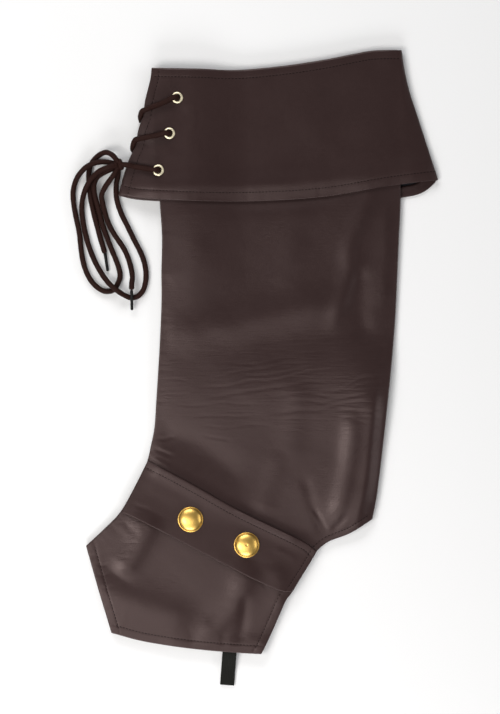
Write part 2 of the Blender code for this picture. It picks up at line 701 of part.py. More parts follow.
def stirrup_path():
    """The elastic's path: y from the sole's edge, and z, from the upper run round to the lower."""
    half = ELASTIC_THICK / 2
    x0, y0 = STIRRUP_TOP
    high = outer_under(x0, y0 + 2.0) - GAP - half
    low = PLY + half
    rest = half + STIRRUP_REST
    bend = half + STIRRUP_FOLD
    end = -STIRRUP_DROP
    upper = [(STIRRUP_INSIDE, high), (2.0, high), (-3.0, high - 0.2), (-8.0, high - 1.0),
             (-16.0, rest + 2 * bend + 0.2), (end + bend * 2, rest + 2 * bend)]
    fold = [(end + bend, rest + 2 * bend - 0.2), (end + half, rest + bend), (end + bend, rest + 0.2)]
    lower = [(end + bend * 2, rest), (-8.0, rest), (-3.0, low - 0.4), (0.0, low), (STIRRUP_INSIDE, low)]
    return upper + fold + lower


def make_stirrup(finish, group):
    """A doubled loop of flat elastic, its two ends inside the sole hems."""
    path = stirrup_path()
    x0, y0 = STIRRUP_TOP
    mesh = bpy.data.meshes.new("stirrup_elastic")
    bm = bmesh.new()
    bmesh.ops.create_grid(bm, x_segments=1, y_segments=len(path) - 1, size=1.0)
    cos_tilt = math.cos(STIRRUP_TILT)
    sin_tilt = math.sin(STIRRUP_TILT)
    for vert in bm.verts:
        along_y, z = path[round((vert.co.y + 1) / 2 * (len(path) - 1))]
        across_x = vert.co.x * ELASTIC_WIDTH / 2
        x = x0 + across_x * cos_tilt + along_y * sin_tilt
        y = y0 + along_y * cos_tilt - across_x * sin_tilt
        vert.co = Vector((x, y, z)) * MM
    bm.to_mesh(mesh)
    bm.free()
    made = add_object("stirrup_elastic", mesh, finish, group)
    wall = made.modifiers.new("wall", "SOLIDIFY")
    wall.thickness = ELASTIC_THICK * MM
    wall.offset = 0.0


def main():
    clear_scene()
    group = new_collection("boot_cover")
    cutters = new_collection("cutters")
    hide = material("coated cloth", (0.048, 0.032, 0.029), 0.42)
    cuff_hide = material("cuff cloth", (0.040, 0.026, 0.024), 0.45)
    cord = material("braided lace", (0.050, 0.022, 0.015), 0.75)
    tip = material("aglet", (0.010, 0.010, 0.010), 0.35)
    gold = material("polished gold", (0.80, 0.52, 0.16), 0.15, 1.0)
    brass = material("pale brass", (0.78, 0.66, 0.40), 0.25, 1.0)
    webbing = material("ribbed elastic", (0.018, 0.018, 0.016), 0.8)
    make_shaft(hide, group)
    make_foot(hide, group)
    make_cuff(cuff_hide, group, cutters)
    make_band(hide, group)
    make_buttons(gold, group)
    make_eyelets(brass, group)
    make_lacing(cord, group)
    make_leads(cord, group)
    make_knot(cord, group)
    make_bow(cord, tip, group)
    make_stirrup(webbing, group)


main()
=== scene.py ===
# %% [markdown]
# # A costume boot cover, laid flat
#
# The object is a boot top of coated cloth (imitation leather) that is worn over a shoe: a tall shaft,
# a turned-down cuff that is laced at its side, a band with two metal buttons across the instep,
# a flap over the shoe and a short elastic that goes under the sole. It lies flat on its inner side
# and is seen from straight above. The frame that is loaded first holds the pieces at their real size;
# this script gives each of them its cloth, sewing, metal or lace.

# %% The fixed frame
import json
import math

import bmesh
import bpy
import numpy as np
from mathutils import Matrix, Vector

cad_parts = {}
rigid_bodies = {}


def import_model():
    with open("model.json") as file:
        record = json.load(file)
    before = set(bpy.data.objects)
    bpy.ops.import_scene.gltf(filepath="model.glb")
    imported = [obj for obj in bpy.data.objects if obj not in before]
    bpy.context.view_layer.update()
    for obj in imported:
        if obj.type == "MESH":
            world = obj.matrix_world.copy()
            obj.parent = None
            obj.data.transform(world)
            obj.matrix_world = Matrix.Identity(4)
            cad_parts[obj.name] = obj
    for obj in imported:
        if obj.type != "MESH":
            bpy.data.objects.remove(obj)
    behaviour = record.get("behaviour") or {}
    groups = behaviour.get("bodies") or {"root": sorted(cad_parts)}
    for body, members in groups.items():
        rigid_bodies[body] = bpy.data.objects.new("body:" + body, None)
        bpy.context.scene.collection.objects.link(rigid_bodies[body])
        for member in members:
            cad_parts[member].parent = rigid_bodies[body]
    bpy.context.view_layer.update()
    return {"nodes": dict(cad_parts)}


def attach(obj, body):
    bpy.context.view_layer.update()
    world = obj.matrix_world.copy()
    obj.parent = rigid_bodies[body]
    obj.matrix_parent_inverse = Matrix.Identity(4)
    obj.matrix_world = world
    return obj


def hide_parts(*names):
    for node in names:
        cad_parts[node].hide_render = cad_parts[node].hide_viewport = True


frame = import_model()
MM = 0.001
print("frame:", len(frame["nodes"]), "nodes")

# %% [markdown]
# ## Camera
#
# A flat garment is photographed from straight above. A long lens, far away, keeps its outline free of
# perspective. One pixel of the picture is 0.9 mm at the height of the cloth, so the picture is
# 642.6 mm tall there, and the camera's distance follows from the lens.

# %% Camera straight above
PIXEL = 0.9
PICTURE_TALL = 714
LENS = 140.0
SENSOR = 36.0
CLOTH_HEIGHT = 4.0
VIEW_CENTRE = (-12.75, 9.4)

camera_data = bpy.data.cameras.new("camera")
camera_data.lens = LENS
camera_data.sensor_width = SENSOR
camera = bpy.data.objects.new("camera", camera_data)
bpy.context.scene.collection.objects.link(camera)
camera_height = PICTURE_TALL * PIXEL * LENS / SENSOR + CLOTH_HEIGHT
camera.location = Vector((*VIEW_CENTRE, camera_height)) * MM
camera_data.clip_end = 20.0
bpy.context.scene.camera = camera
print("camera height, mm:", round(camera_height))

# %% [markdown]
# ## Curves and distances
#
# Every edge of the pattern is a smooth curve through a few points, in millimetres. Cloth is then
# shaped by distance: how far a point is from a seam or a hem decides how high the cloth stands there.
# Numpy does this for all points of a panel at once, which keeps the script quick.

# %% Smooth lines, and reading them
def smooth(points, steps=5):
    """Points on one smooth curve through the given ones."""
    p = np.array(points, float)
    if len(p) == 2:
        return p
    ext = np.vstack([2 * p[0] - p[1], p, 2 * p[-1] - p[-2]])
    t = np.linspace(0, 1, steps, endpoint=False)[:, None]
    spans = []
    for p0, p1, p2, p3 in zip(ext, ext[1:], ext[2:], ext[3:]):
        spans.append(0.5 * (2 * p1 + (p2 - p0) * t + (2 * p0 - 5 * p1 + 4 * p2 - p3) * t ** 2
                            + (3 * p1 - p0 - 3 * p2 + p3) * t ** 3))
    return np.vstack(spans + [p[-1:]])


def length_of(line):
    """The length of a line."""
    return float(np.linalg.norm(np.diff(line, axis=0), axis=1).sum())


def far_along(line):
    """How far along a line each of its points lies."""
    return np.concatenate([[0], np.cumsum(np.linalg.norm(np.diff(line, axis=0), axis=1))])


def read(line, shares):
    """The points at these shares of a line's length."""
    far = far_along(line)
    return np.stack([np.interp(np.asarray(shares) * far[-1], far, line[:, k])
                     for k in range(line.shape[1])], axis=1)


def unit(vectors):
    """Each row of vectors, brought to length one."""
    return vectors / np.linalg.norm(vectors, axis=1)[:, None]


def heading(line, shares):
    """The direction in which a line runs at these shares of its length."""
    return unit(read(line, np.clip(shares + 0.01, 0, 1)) - read(line, np.clip(shares - 0.01, 0, 1)))


def left_of(ahead):
    """A quarter turn to the left of each direction."""
    return np.stack([-ahead[:, 1], ahead[:, 0]], axis=1)


def ease(t):
    """A soft step from 0 to 1."""
    t = np.clip(t, 0.0, 1.0)
    return t * t * (3 - 2 * t)


def nearest(x, y, line):
    """Distance to a line, and the share of the line where it is nearest."""
    best = np.full(np.shape(x), 1e9)
    share = np.zeros(np.shape(x))
    spans = np.linalg.norm(np.diff(line[:, :2], axis=0), axis=1)
    total = spans.sum()
    start = 0.0
    for (ax, ay), (bx, by), span in zip(line[:, :2], line[1:, :2], spans):
        dx, dy = bx - ax, by - ay
        t = np.clip(((x - ax) * dx + (y - ay) * dy) / (span * span), 0, 1)
        off = np.hypot(x - ax - t * dx, y - ay - t * dy)
        closer = off < best
        best = np.where(closer, off, best)
        share = np.where(closer, (start + t * span) / total, share)
        start += span
    return best, share


def distance(x, y, line):
    return nearest(x, y, line)[0]


def table(rows, at):
    """Straight-line reading of a table of (place, value)."""
    places, values = zip(*rows)
    return np.interp(at, places, values)


# %% [markdown]
# ## The pattern
#
# These are the outlines of the pieces as they lie, the same as in the frame: +X is the heel side,
# +Y the cuff, and the origin is the middle of the cover.

# %% Outlines, x and y in mm
FRONT_SEAM = smooth([
    (-110.7, -96.5), (-105.3, -84.4), (-101.9, -70.0), (-98.8, -54.0), (-97.1, -30.0),
    (-95.4, -4.0), (-93.8, 24.0), (-92.3, 60.0), (-92.4, 86.0), (-91.8, 118.0),
    (-93.8, 149.6), (-95.0, 190.0), (-97.5, 235.0), (-99.4, 267.3),
])
BACK_SEAM = smooth([
    (97.4, -136.6), (101.9, -111.4), (107.3, -66.4), (111.2, -30.4), (114.8, 5.6),
    (117.8, 41.6), (119.6, 77.6), (121.1, 113.6), (122.7, 149.6), (122.6, 195.0),
    (121.6, 240.0), (121.2, 282.8),
])
SHAFT_TOP = smooth([
    (-99.4, 267.3), (-57.8, 266.5), (-26.3, 265.7), (14.2, 269.2), (50.2, 274.4),
    (78.1, 279.6), (96.0, 282.2), (121.2, 282.8),
])
SHAFT_FOOT_SEAM = smooth([
    (-110.7, -96.5), (-72.0, -114.5), (-26.8, -140.0), (16.0, -162.0), (41.5, -174.8),
])
HEEL_HEM = smooth([(41.5, -174.8), (47.5, -165.2), (58.3, -156.6), (77.2, -149.2), (97.4, -136.6)])
INSTEP_SEAM = smooth([
    (-110.9, -97.0), (-118.6, -111.4), (-129.4, -130.0), (-142.2, -143.6), (-160.4, -160.6),
])
TOE_HEM = smooth([(-160.4, -160.6), (-153.8, -183.4), (-145.8, -210.4), (-137.4, -238.7)])
SOLE_HEM = smooth([
    (-137.4, -238.7), (-108.5, -246.4), (-66.8, -252.7), (-30.0, -256.2), (-2.6, -257.8),
])
HEEL_EDGE = smooth([
    (-2.6, -257.8), (3.2, -246.4), (11.3, -228.4), (19.2, -210.4), (25.7, -201.4),
    (36.6, -183.4), (41.2, -175.4),
])
BAND_TOP = smooth([(-104.6, -83.5), (-66.8, -103.3), (-21.8, -128.5), (32.2, -154.6), (47.5, -165.2)])
BAND_BOTTOM = smooth([
    (-128.8, -130.2), (-102.8, -142.0), (-66.8, -160.9), (-18.2, -186.1), (12.4, -200.1),
    (24.6, -201.8),
])
BAND_FRONT = smooth([(-128.8, -130.2), (-118.6, -111.4), (-110.0, -94.5), (-104.6, -83.5)])
BAND_REAR = smooth([(24.6, -201.8), (36.6, -183.4), (47.5, -165.2)])
CUFF_TOP = smooth([
    (-101.0, 268.9), (-57.8, 268.2), (-26.3, 267.4), (14.2, 270.9), (50.2, 276.1),
    (78.1, 281.5), (98.0, 285.0), (123.6, 285.6),
])
CUFF_FOLD = smooth([
    (156.6, 168.8), (151.6, 183.8), (144.6, 205.4), (137.6, 227.0), (130.6, 248.6),
    (125.7, 270.2), (123.6, 285.6),
])
CUFF_HEM = smooth([
    (-129.8, 155.4), (-108.5, 151.6), (-50.6, 149.1), (5.2, 149.9), (56.9, 153.7),
    (108.5, 162.4), (140.2, 166.7), (156.6, 168.8),
])
CUFF_HEM_INNER = smooth([
    (-131.4, 154.4), (-108.5, 150.2), (-50.6, 147.8), (5.2, 147.6), (56.9, 148.5),
    (100.0, 150.6), (130.0, 153.8), (144.4, 158.4), (156.6, 168.8),
])
EYELETS = [(-78.0, 241.9), (-85.1, 210.0), (-95.0, 176.9)]
BUTTONS = [("button_front", -66.2, -136.6), ("button_rear", -15.8, -159.5)]

# the lace goes round the free edges at these heights (outer side, inner side) and draws them in
LACE_TURNS = [(0, 230.4, 222.4), (1, 204.6, 195.6)]
LACE_PULL = 2.0
LACE_PULL_WIDTH = 8.0


def pulled(points):
    """A free edge of the cuff, drawn in where the lace goes round it."""
    line = smooth(points)
    pull = sum(np.exp(-((line[:, 1] - (a + b) / 2) / LACE_PULL_WIDTH) ** 2) for _, a, b in LACE_TURNS)
    line[:, 0] += LACE_PULL * pull
    return line


CUFF_FREE_EDGE = pulled([
    (-129.8, 155.4), (-124.2, 175.0), (-119.2, 193.3), (-113.8, 212.0), (-108.6, 234.0),
    (-102.6, 257.0), (-101.0, 268.9),
])
CUFF_FREE_EDGE_INNER = pulled([
    (-131.4, 154.4), (-126.6, 172.0), (-119.6, 193.3), (-113.8, 212.0), (-108.6, 234.0),
    (-102.6, 257.0), (-101.0, 268.9),
])
print("cuff hem, mm:", round(length_of(CUFF_HEM)), " shaft side, mm:", round(length_of(FRONT_SEAM)))

# %% [markdown]
# ## How high the cloth lies
#
# Nothing holds the cover open, so its two sides lie on each other with only a little air between.
# Each layer is a height over the table: the inner side rests on it, the outer side closes down to it at
# the seams, the cuff lies over both, and the laced edge is propped up by the lace beneath. The folds are
# soft ridges and troughs along short lines, set until they took the light as the real ones do. The
# broadest also lift the side seams a little, because the inner side gives way with them.

# %% Heights of the layers, in mm
CLOTH = 1.2
GAP = 0.4
PLY = CLOTH + GAP
LACE = 4.8
LACE_LIFT = 6.0
LIFT_FULL_X = -70.0
LIFT_NONE_X = -14.0
CUFF_FOOT_Y = 146.0
FLOOR_Y = -20.0
SEAM_ROLL = 1.0
SEAM_ROLL_WIDTH = 5.0
PUFF_WIDTH = 9.0
HEM_PUFF_SHARE = 0.85
HEM_PUFF_WIDTH = 16.0
PUFF = [(-260.0, 2.6), (-90.0, 2.4), (-40.0, 1.7), (120.0, 1.6), (285.0, 2.4)]
BROAD = 20.0
EDGE_SHARE = 0.7
EDGE_WIDTH = 25.0
NARROW_FADE = 14.0
BROAD_FADE = 12.0
SHARP_CREASE = 3.0
SHOULDER = 0.35
SIDE_SEAMS = [np.vstack([INSTEP_SEAM[::-1], FRONT_SEAM]), BACK_SEAM]
OPEN_HEMS = [HEEL_HEM, TOE_HEM, SOLE_HEM, HEEL_EDGE]

# broad swells of the outer side: half width, height (minus for a trough) and the points of its line
SWELLS = [
    # the front of the shaft, from the cuff down
    (10.0, -2.4, [(-84, 154), (-46, 152), (-8, 151), (44, 155), (92, 163)]),
    (9.0, 0.5, [(-94, 76), (-76, 86), (-62, 98), (-50, 116)]),
    (16.0, 0.7, [(24, 158), (27, 118), (28, 88), (22, 58)]),
    (8.0, 1.9, [(101, 164), (94, 150), (84, 130), (77, 112), (76, 90), (71, 68), (65, 50), (58, 28)]),
    (9.0, -1.3, [(87, 92), (87, 66), (88, 42), (94, 22)]),
    (9.0, 0.8, [(110, 150), (111, 100), (106, 52)]),
    # one fold across the shaft, flatter towards the front seam, so the second row adds to the first
    (15.0, 1.3, [(-104, 26), (-74, 31), (-40, 36), (0, 46), (40, 54), (76, 66)]),
    (15.0, 1.4, [(-58, 33), (-40, 36), (0, 46), (40, 54), (76, 66)]),
    # the ankle, which falls towards the band
    (42.0, 2.9, [(-190, -10), (-60, -10), (30, -16), (190, -26)]),
    (12.0, 0.9, [(30, -10), (28, -40), (25, -66), (20, -90)]),
    (12.0, -1.0, [(-126, -58), (-98, -60), (-76, -63), (-55, -72), (-34, -88), (-14, -104)]),
    (15.0, 1.6, [(-150, -56), (-104, -83), (-66, -103), (-34, -121), (-12, -134)]),
    (8.5, 2.6, [(80, -34), (79, -56), (76, -86), (71, -112), (65, -132), (62, -142)]),
    (14.0, 3.3, [(97, -10), (97, -70), (93, -106), (83, -140), (77, -158)]),
    (45.0, 3.2, [(100, 30), (100, -20), (98, -70), (92, -120), (90, -150)]),
    (5.0, 0.8, [(109, -62), (106, -90), (101, -118), (96, -140)]),
    (9.0, 0.7, [(14, -74), (8, -96), (2, -114), (-4, -134)]),
    (5.0, -0.6, [(36, -96), (42, -118), (48, -134), (54, -152)]),
    (6.0, 1.3, [(-116, -82), (-90, -93.5), (-66.8, -106), (-21.8, -131), (32, -157), (56, -169)]),
    # under the band and over the foot
    (36.0, 1.4, [(-180, -108), (-127, -133), (-66, -162), (-18, -187), (40, -216)]),
    (34.0, 1.3, [(-190, -184), (-128, -198), (-80, -207), (-30, -217), (50, -230)]),
    (11.0, 2.8, [(-101, -130), (-107, -146), (-114, -161), (-122, -174), (-131, -188)]),
    (16.0, 2.4, [(-166, -192), (-146, -200), (-127, -209), (-106, -217), (-84, -225), (-58, -234)]),
    (10.5, 2.1, [(-13, -172), (-18, -190), (-25, -211), (-42, -231), (-66, -242)]),
    (9.0, 0.9, [(8, -176), (13, -192), (14, -206), (12, -222)]),
    (5.0, -0.9, [(-18, -202), (-18, -218), (-20, -236), (-24, -252)]),
    (40.0, 1.8, [(-190, -212), (-130, -244), (-70, -262)]),
    (12.0, 2.3, [(-94, -254), (-60, -251), (-24, -251), (18, -253)]),
]


def creased(x, y, rows):
    """Sum of swells or creases: each row is a half width, a height (minus for a valley) and its points."""
    total = np.zeros(np.shape(x))
    for half, height, points in rows:
        line = smooth(points)
        reach = 3.5 * half
        low, high = line.min(0) - reach, line.max(0) + reach
        near = (x > low[0]) & (x < high[0]) & (y > low[1]) & (y < high[1])
        if not near.any():
            continue
        off, share = nearest(x[near], y[near], line)
        q = off / half
        body = np.exp(-q * q)
        if height < 0 and half < SHARP_CREASE:
            body = body - SHOULDER * np.exp(-(q - 1.9) ** 2)
        total[near] += height * body * ease(share / 0.25 + 0.15) * ease((1 - share) / 0.25 + 0.15)
    return total


def lift(x, y):
    """The laced side stands off the table by the lace that runs under it."""
    across = ease((LIFT_NONE_X - x) / (LIFT_NONE_X - LIFT_FULL_X))
    return LACE_LIFT * across * ease((y - FLOOR_Y) / (CUFF_FOOT_Y - FLOOR_Y))


# %% A grid that keeps heights
GRID_STEP = 1.25
GRID_X = np.arange(-182.0, 166.0, GRID_STEP)
GRID_Y = np.arange(-294.0, 294.0, GRID_STEP)
GX, GY = np.meshgrid(GRID_X, GRID_Y)


def kept(values):
    """Values on the grid, as a function that reads them smoothly at any place."""
    def weights(f):
        return ((-f + 2 * f ** 2 - f ** 3) / 2, (2 - 5 * f ** 2 + 3 * f ** 3) / 2,
                (f + 4 * f ** 2 - 3 * f ** 3) / 2, (f ** 3 - f ** 2) / 2)

    def height(x, y):
        u = np.clip((np.asarray(x, float) - GRID_X[0]) / GRID_STEP, 1.0, len(GRID_X) - 2.001)
        v = np.clip((np.asarray(y, float) - GRID_Y[0]) / GRID_STEP, 1.0, len(GRID_Y) - 2.001)
        i, j = u.astype(int), v.astype(int)
        total = 0.0
        for b, wy in enumerate(weights(v - j)):
            for a, wx in enumerate(weights(u - i)):
                total = total + wy * wx * values[j + b - 1, i + a - 1]
        return total
    return height


def stacked(values, plies):
    """Grid heights raised by so many plies of cloth, measured square to the surface."""
    slope_y, slope_x = np.gradient(values, GRID_STEP)
    return values + plies * PLY * np.sqrt(1 + slope_x ** 2 + slope_y ** 2)


front_x = table([(b, a) for a, b in FRONT_SEAM], GY)
back_x = table([(b, a) for a, b in BACK_SEAM], GY)
outside = (GY > FRONT_SEAM[0, 1]) & (GX < front_x) | (GY > BACK_SEAM[0, 1]) & (GX > back_x)
near_seam = np.min([distance(GX, GY, line) for line in SIDE_SEAMS], axis=0)
near_seam = np.where(outside, 0.0, near_seam)
near_hem = np.min([distance(GX, GY, line) for line in OPEN_HEMS], axis=0)

step_up = PLY * ease((GY - FLOOR_Y) / (CUFF_FOOT_Y - FLOOR_Y))
broad = creased(GX, GY, [row for row in SWELLS if row[0] > BROAD])
edge_lift = EDGE_SHARE * np.exp(-near_seam / EDGE_WIDTH)
inner_grid = lift(GX, GY) + step_up + SEAM_ROLL * np.exp(-near_seam / SEAM_ROLL_WIDTH) + edge_lift * broad
fill = 1 - np.exp(-near_seam / PUFF_WIDTH)
fill = fill * (HEM_PUFF_SHARE + (1 - HEM_PUFF_SHARE) * (1 - np.exp(-near_hem / HEM_PUFF_WIDTH)))
narrow = creased(GX, GY, [row for row in SWELLS if row[0] <= BROAD]) * ease(near_seam / NARROW_FADE)
broad = broad * (1 - edge_lift - (1 - EDGE_SHARE) * np.exp(-near_seam / BROAD_FADE))
outer_grid = inner_grid + PLY + table(PUFF, GY) * fill + narrow + broad

seam_distance = kept(near_seam)
inner_under = kept(inner_grid)
outer_under = kept(outer_grid)
outer_top = kept(stacked(outer_grid, CLOTH / PLY))
band_top = kept(stacked(outer_grid, 2) - GAP)

# %% The cuff's two sides
CUFF_HEM_RISE = 2.1
CUFF_HEM_CREST = 12.0
CUFF_HEM_WIDTH = 11.0
CUFF_FOLD_RISE = 1.1
CUFF_FOLD_WIDTH = 3.0
CUFF_FREE_GAP = 0.9
CUFF_CLOSING_WIDTH = 22.0

to_fold = distance(GX, GY, CUFF_FOLD)
meet = lift(GX, GY) + CLOTH + CUFF_FOLD_RISE * np.exp(-to_fold / CUFF_FOLD_WIDTH)
over = kept(stacked(outer_grid, 1))(np.clip(GX, front_x, back_x), GY)
over = over + CUFF_HEM_RISE * np.exp(-((distance(GX, GY, CUFF_HEM) - CUFF_HEM_CREST) / CUFF_HEM_WIDTH) ** 2)
share = np.clip(to_fold / distance(back_x, GY, CUFF_FOLD), 0, 1)
folded = meet + GAP + (over - meet - GAP) * np.sqrt(1 - (1 - share) ** 2)
flare = distance(front_x, GY, CUFF_FREE_EDGE)
share = np.clip(distance(GX, GY, CUFF_FREE_EDGE) / flare, 0, 1)
closing = ease((flare - 4.0) / CUFF_CLOSING_WIDTH) * (1 - ease(share))
free = over - (over - meet - CUFF_FREE_GAP) * closing
cuff_grid = np.maximum(meet + GAP, np.where(GX > back_x, folded, np.where(GX < front_x, free, over)))
cuff_outer_top = kept(stacked(cuff_grid, CLOTH / PLY))
print("outer side over the table at mid shaft, mm:", round(float(outer_under(0.0, 0.0)), 2))

# %% [markdown]
# ## The lace
#
# A round braided cord comes out of each eyelet, goes round the two free edges and back in below, and the
# lowest pair of ends is tied in a bow whose loops hang down beside the shaft. Each strand is a tube along
# a smooth line. Its surface carries the braid itself: eight strands wind one way and eight the other,
# each going over and under in turn, as on the machine that makes such laces.

# %% A braided tube along a route
STRANDS = 8
CROSSING = 2.1
BRAID_DEPTH = 0.2
AROUND = 32
RING_STEP = 0.62
END_SHARES = np.array([0.3, 0.78, 0.95, 1.0])


def at(height, x, y):
    """One height, read at one place."""
    return float(height(np.array([x]), np.array([y]))[0])


def carried_frames(line):
    """Directions ahead and to the side at each point of a line, carried along it without twist."""
    ahead = unit(np.gradient(line, axis=0))
    side = np.zeros_like(line)
    start = np.cross(ahead[0], (0, 0, 1) if abs(ahead[0][2]) < 0.9 else (0, 1, 0))
    side[0] = start / np.linalg.norm(start)
    for i in range(1, len(line)):
        turned = side[i - 1] - ahead[i] * (side[i - 1] @ ahead[i])
        side[i] = turned / np.linalg.norm(turned)
    return side, np.cross(ahead, side)


def braid(turn, far):
    """Height of the braid, 0 to 1, at a share of a turn round the lace and a distance along it."""
    p, q = STRANDS * turn + far / CROSSING, STRANDS * turn - far / CROSSING
    right = np.mod(np.floor(p) + np.floor(q), 2) < 1
    across = np.mod(np.where(right, p, q), 1)
    onward = np.mod(np.where(right, q, p), 1)
    return np.sin(np.pi * across) ** 0.7 * (0.5 + 0.5 * np.sin(np.pi * onward) ** 0.8)


def mesh_from(name, points, faces, uvs=None):
    """An object from points in mm, four-sided faces and each face's four texture places."""
    mesh = bpy.data.meshes.new(name)
    mesh.from_pydata((np.array(points) * MM).tolist(), [], faces.tolist())
    if uvs is not None:
        mesh.uv_layers.new(name="along").data.foreach_set("uv", np.array(uvs).reshape(-1))
    mesh.shade_smooth()
    made = bpy.data.objects.new(name, mesh)
    bpy.context.scene.collection.objects.link(made)
    return made


def ring_faces(around, rings):
    """Faces between rings of points, and for each its place round the ring, the next place and its ring."""
    k, r = (a.reshape(-1) for a in np.meshgrid(np.arange(around), np.arange(rings - 1)))
    after = (k + 1) % around
    low, high = r * around, (r + 1) * around
    return np.stack([low + k, low + after, high + after, high + k], 1), k, after, r


def lace_tube(name, route, width=LACE):
    """A braided tube of the lace's width along a route, narrowed at both ends."""
    coarse = smooth(route, 12)
    count = max(6, round(length_of(coarse) / RING_STEP) + 1)
    line = read(coarse, np.linspace(0, 1, count))
    far = far_along(line)
    side, over = carried_frames(line)
    turn = np.arange(AROUND) / AROUND
    high = braid(turn[None], far[:, None])
    wander = 1 + 0.02 * np.sin(far * 0.31 + len(name)) + 0.015 * np.sin(far * 0.83)
    radius = width / 2 * wander[:, None] + BRAID_DEPTH * (high - 0.75)
    closing = np.minimum(np.arange(count), np.arange(count)[::-1])
    radius = radius * END_SHARES[np.minimum(closing, 3)][:, None]
    angle = 2 * np.pi * turn
    points = (line[:, None] + radius[..., None] * (np.cos(angle)[None, :, None] * side[:, None]
              + np.sin(angle)[None, :, None] * over[:, None])).reshape(-1, 3)
    faces, k, _, r = ring_faces(AROUND, count)
    u = np.stack([k, k + 1, k + 1, k], 1) / AROUND
    v = np.stack([far[r], far[r], far[r + 1], far[r + 1]], 1) / (math.pi * width)
    made = mesh_from(name + "_braided", points, faces, np.stack([u, v], -1))
    lace_pieces.append(made)
    return made, line


lace_pieces = []

# %% [markdown]
# ## Where the lace runs
#
# The two visible turns leave an eyelet, lie over the cuff and go round the edges. On the hidden side they
# come back up through the inner eyelets. The lowest eyelets send two leads to the knot.

# %% Turns and leads through the eyelets
EYELET_FLANGE = 0.8
LACE_BEND = 3.2
LACE_SLACK = 0.1
LACE_CLEAR = LACE / 2 + GAP
LACE_ON_FLOOR = 2.65
EDGE_SLACK = 0.5
OVER_SLACK = 0.7
LEAD_ON_CUFF = [(-108.0, 178.8), (-116.0, 180.2)]
LEAD_TO_KNOT = [(-121.6, 181.4, 13.8), (-125.4, 181.9, 13.2), (-129.6, 182.0, 11.2)]
LEAD_BELOW = [(-108.0, 179.2, 3.2), (-116.0, 180.8, 3.0), (-121.8, 181.8, 3.2), (-125.6, 182.3, 4.2)]


def eyelet_lead(x, y, height, up):
    """Points of a lace coming out of an eyelet and bending over its flange towards -X."""
    start = height - up * EYELET_FLANGE
    knee = height + up * (EYELET_FLANGE + GAP)
    bend = LACE_BEND if up > 0 else min(LACE_BEND, knee - LACE_ON_FLOOR)
    points = [(x, y, start), (x, y, (start + knee) / 2)]
    for degrees in (0, 30, 60, 90):
        turn = math.radians(degrees)
        points.append((x - LACE_BEND * (1 - math.cos(turn)), y, knee + up * bend * math.sin(turn)))
    return points


def free_edge_x(y):
    return float(table([(b, a) for a, b in CUFF_FREE_EDGE], y))


def edge_turn(y_out, y_in):
    """Points of a lace going round the cuff's two free edges, from the outer side to the inner."""
    y_mid = (y_out + y_in) / 2
    edge_x = free_edge_x(y_mid)
    top = at(cuff_outer_top, edge_x + 2.0, y_mid) + LACE_CLEAR + EDGE_SLACK
    low = max(at(lift, edge_x, y_mid) - LACE_CLEAR - EDGE_SLACK, LACE_ON_FLOOR)
    points = []
    for degrees in range(90, -91, -30):
        turn = math.radians(degrees)
        y = y_mid + (y_out - y_in) / 2 * math.sin(turn)
        x = free_edge_x(y) - (LACE / 2 + LACE_SLACK) * math.cos(turn)
        points.append((x, y, (top + low) / 2 + (top - low) / 2 * math.sin(turn)))
    return points


for number, (eye, y_out, y_in) in enumerate(LACE_TURNS, 1):
    x, y = EYELETS[eye]
    run = free_edge_x((y_out + y_in) / 2) - x
    over = []
    for share in (0.4, 0.65, 0.85):
        px, py = x + run * share, y + (y_out - y) * share
        over.append((px, py, at(cuff_outer_top, px + 1.5, py) + LACE_CLEAR + OVER_SLACK))
    below = [(x + run * share, y + (y_in - y) * share, at(lift, x, y) - LACE_CLEAR - LACE_SLACK)
             for share in (0.7, 0.4)]
    first = eyelet_lead(x, y, at(cuff_outer_top, x, y), 1)
    last = eyelet_lead(x, y, at(lift, x, y), -1)[::-1]
    turn_tube, _ = lace_tube(f"lace_turn_{number}", first + over + edge_turn(y_out, y_in) + below + last)
    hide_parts(f"lace_turn_{number}")

x, y = EYELETS[2]
on_cuff = [(px, py, at(cuff_outer_top, px, py) + LACE_CLEAR + LACE_SLACK) for px, py in LEAD_ON_CUFF]
route = eyelet_lead(x, y, at(cuff_outer_top, x, y), 1) + on_cuff + LEAD_TO_KNOT
lead_outer, _ = lace_tube("lace_lead_outer", route)
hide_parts("lace_lead_outer")
lead_inner, _ = lace_tube("lace_lead_inner", eyelet_lead(x, y, at(lift, x, y), -1) + LEAD_BELOW)
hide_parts("lace_lead_inner")
print("lace pieces held by the cuff:", [o.name for o in lace_pieces])

# %% [markdown]
# ## The bow
#
# Seen from the outer side the knot is a short wrap of lace with two loops and two ends coming out of its
# left. The long loop passes over the short loop's return, and that lies over the left end. Both ends
# wear a thin black plastic tip, the aglet, which keeps the braid from opening.

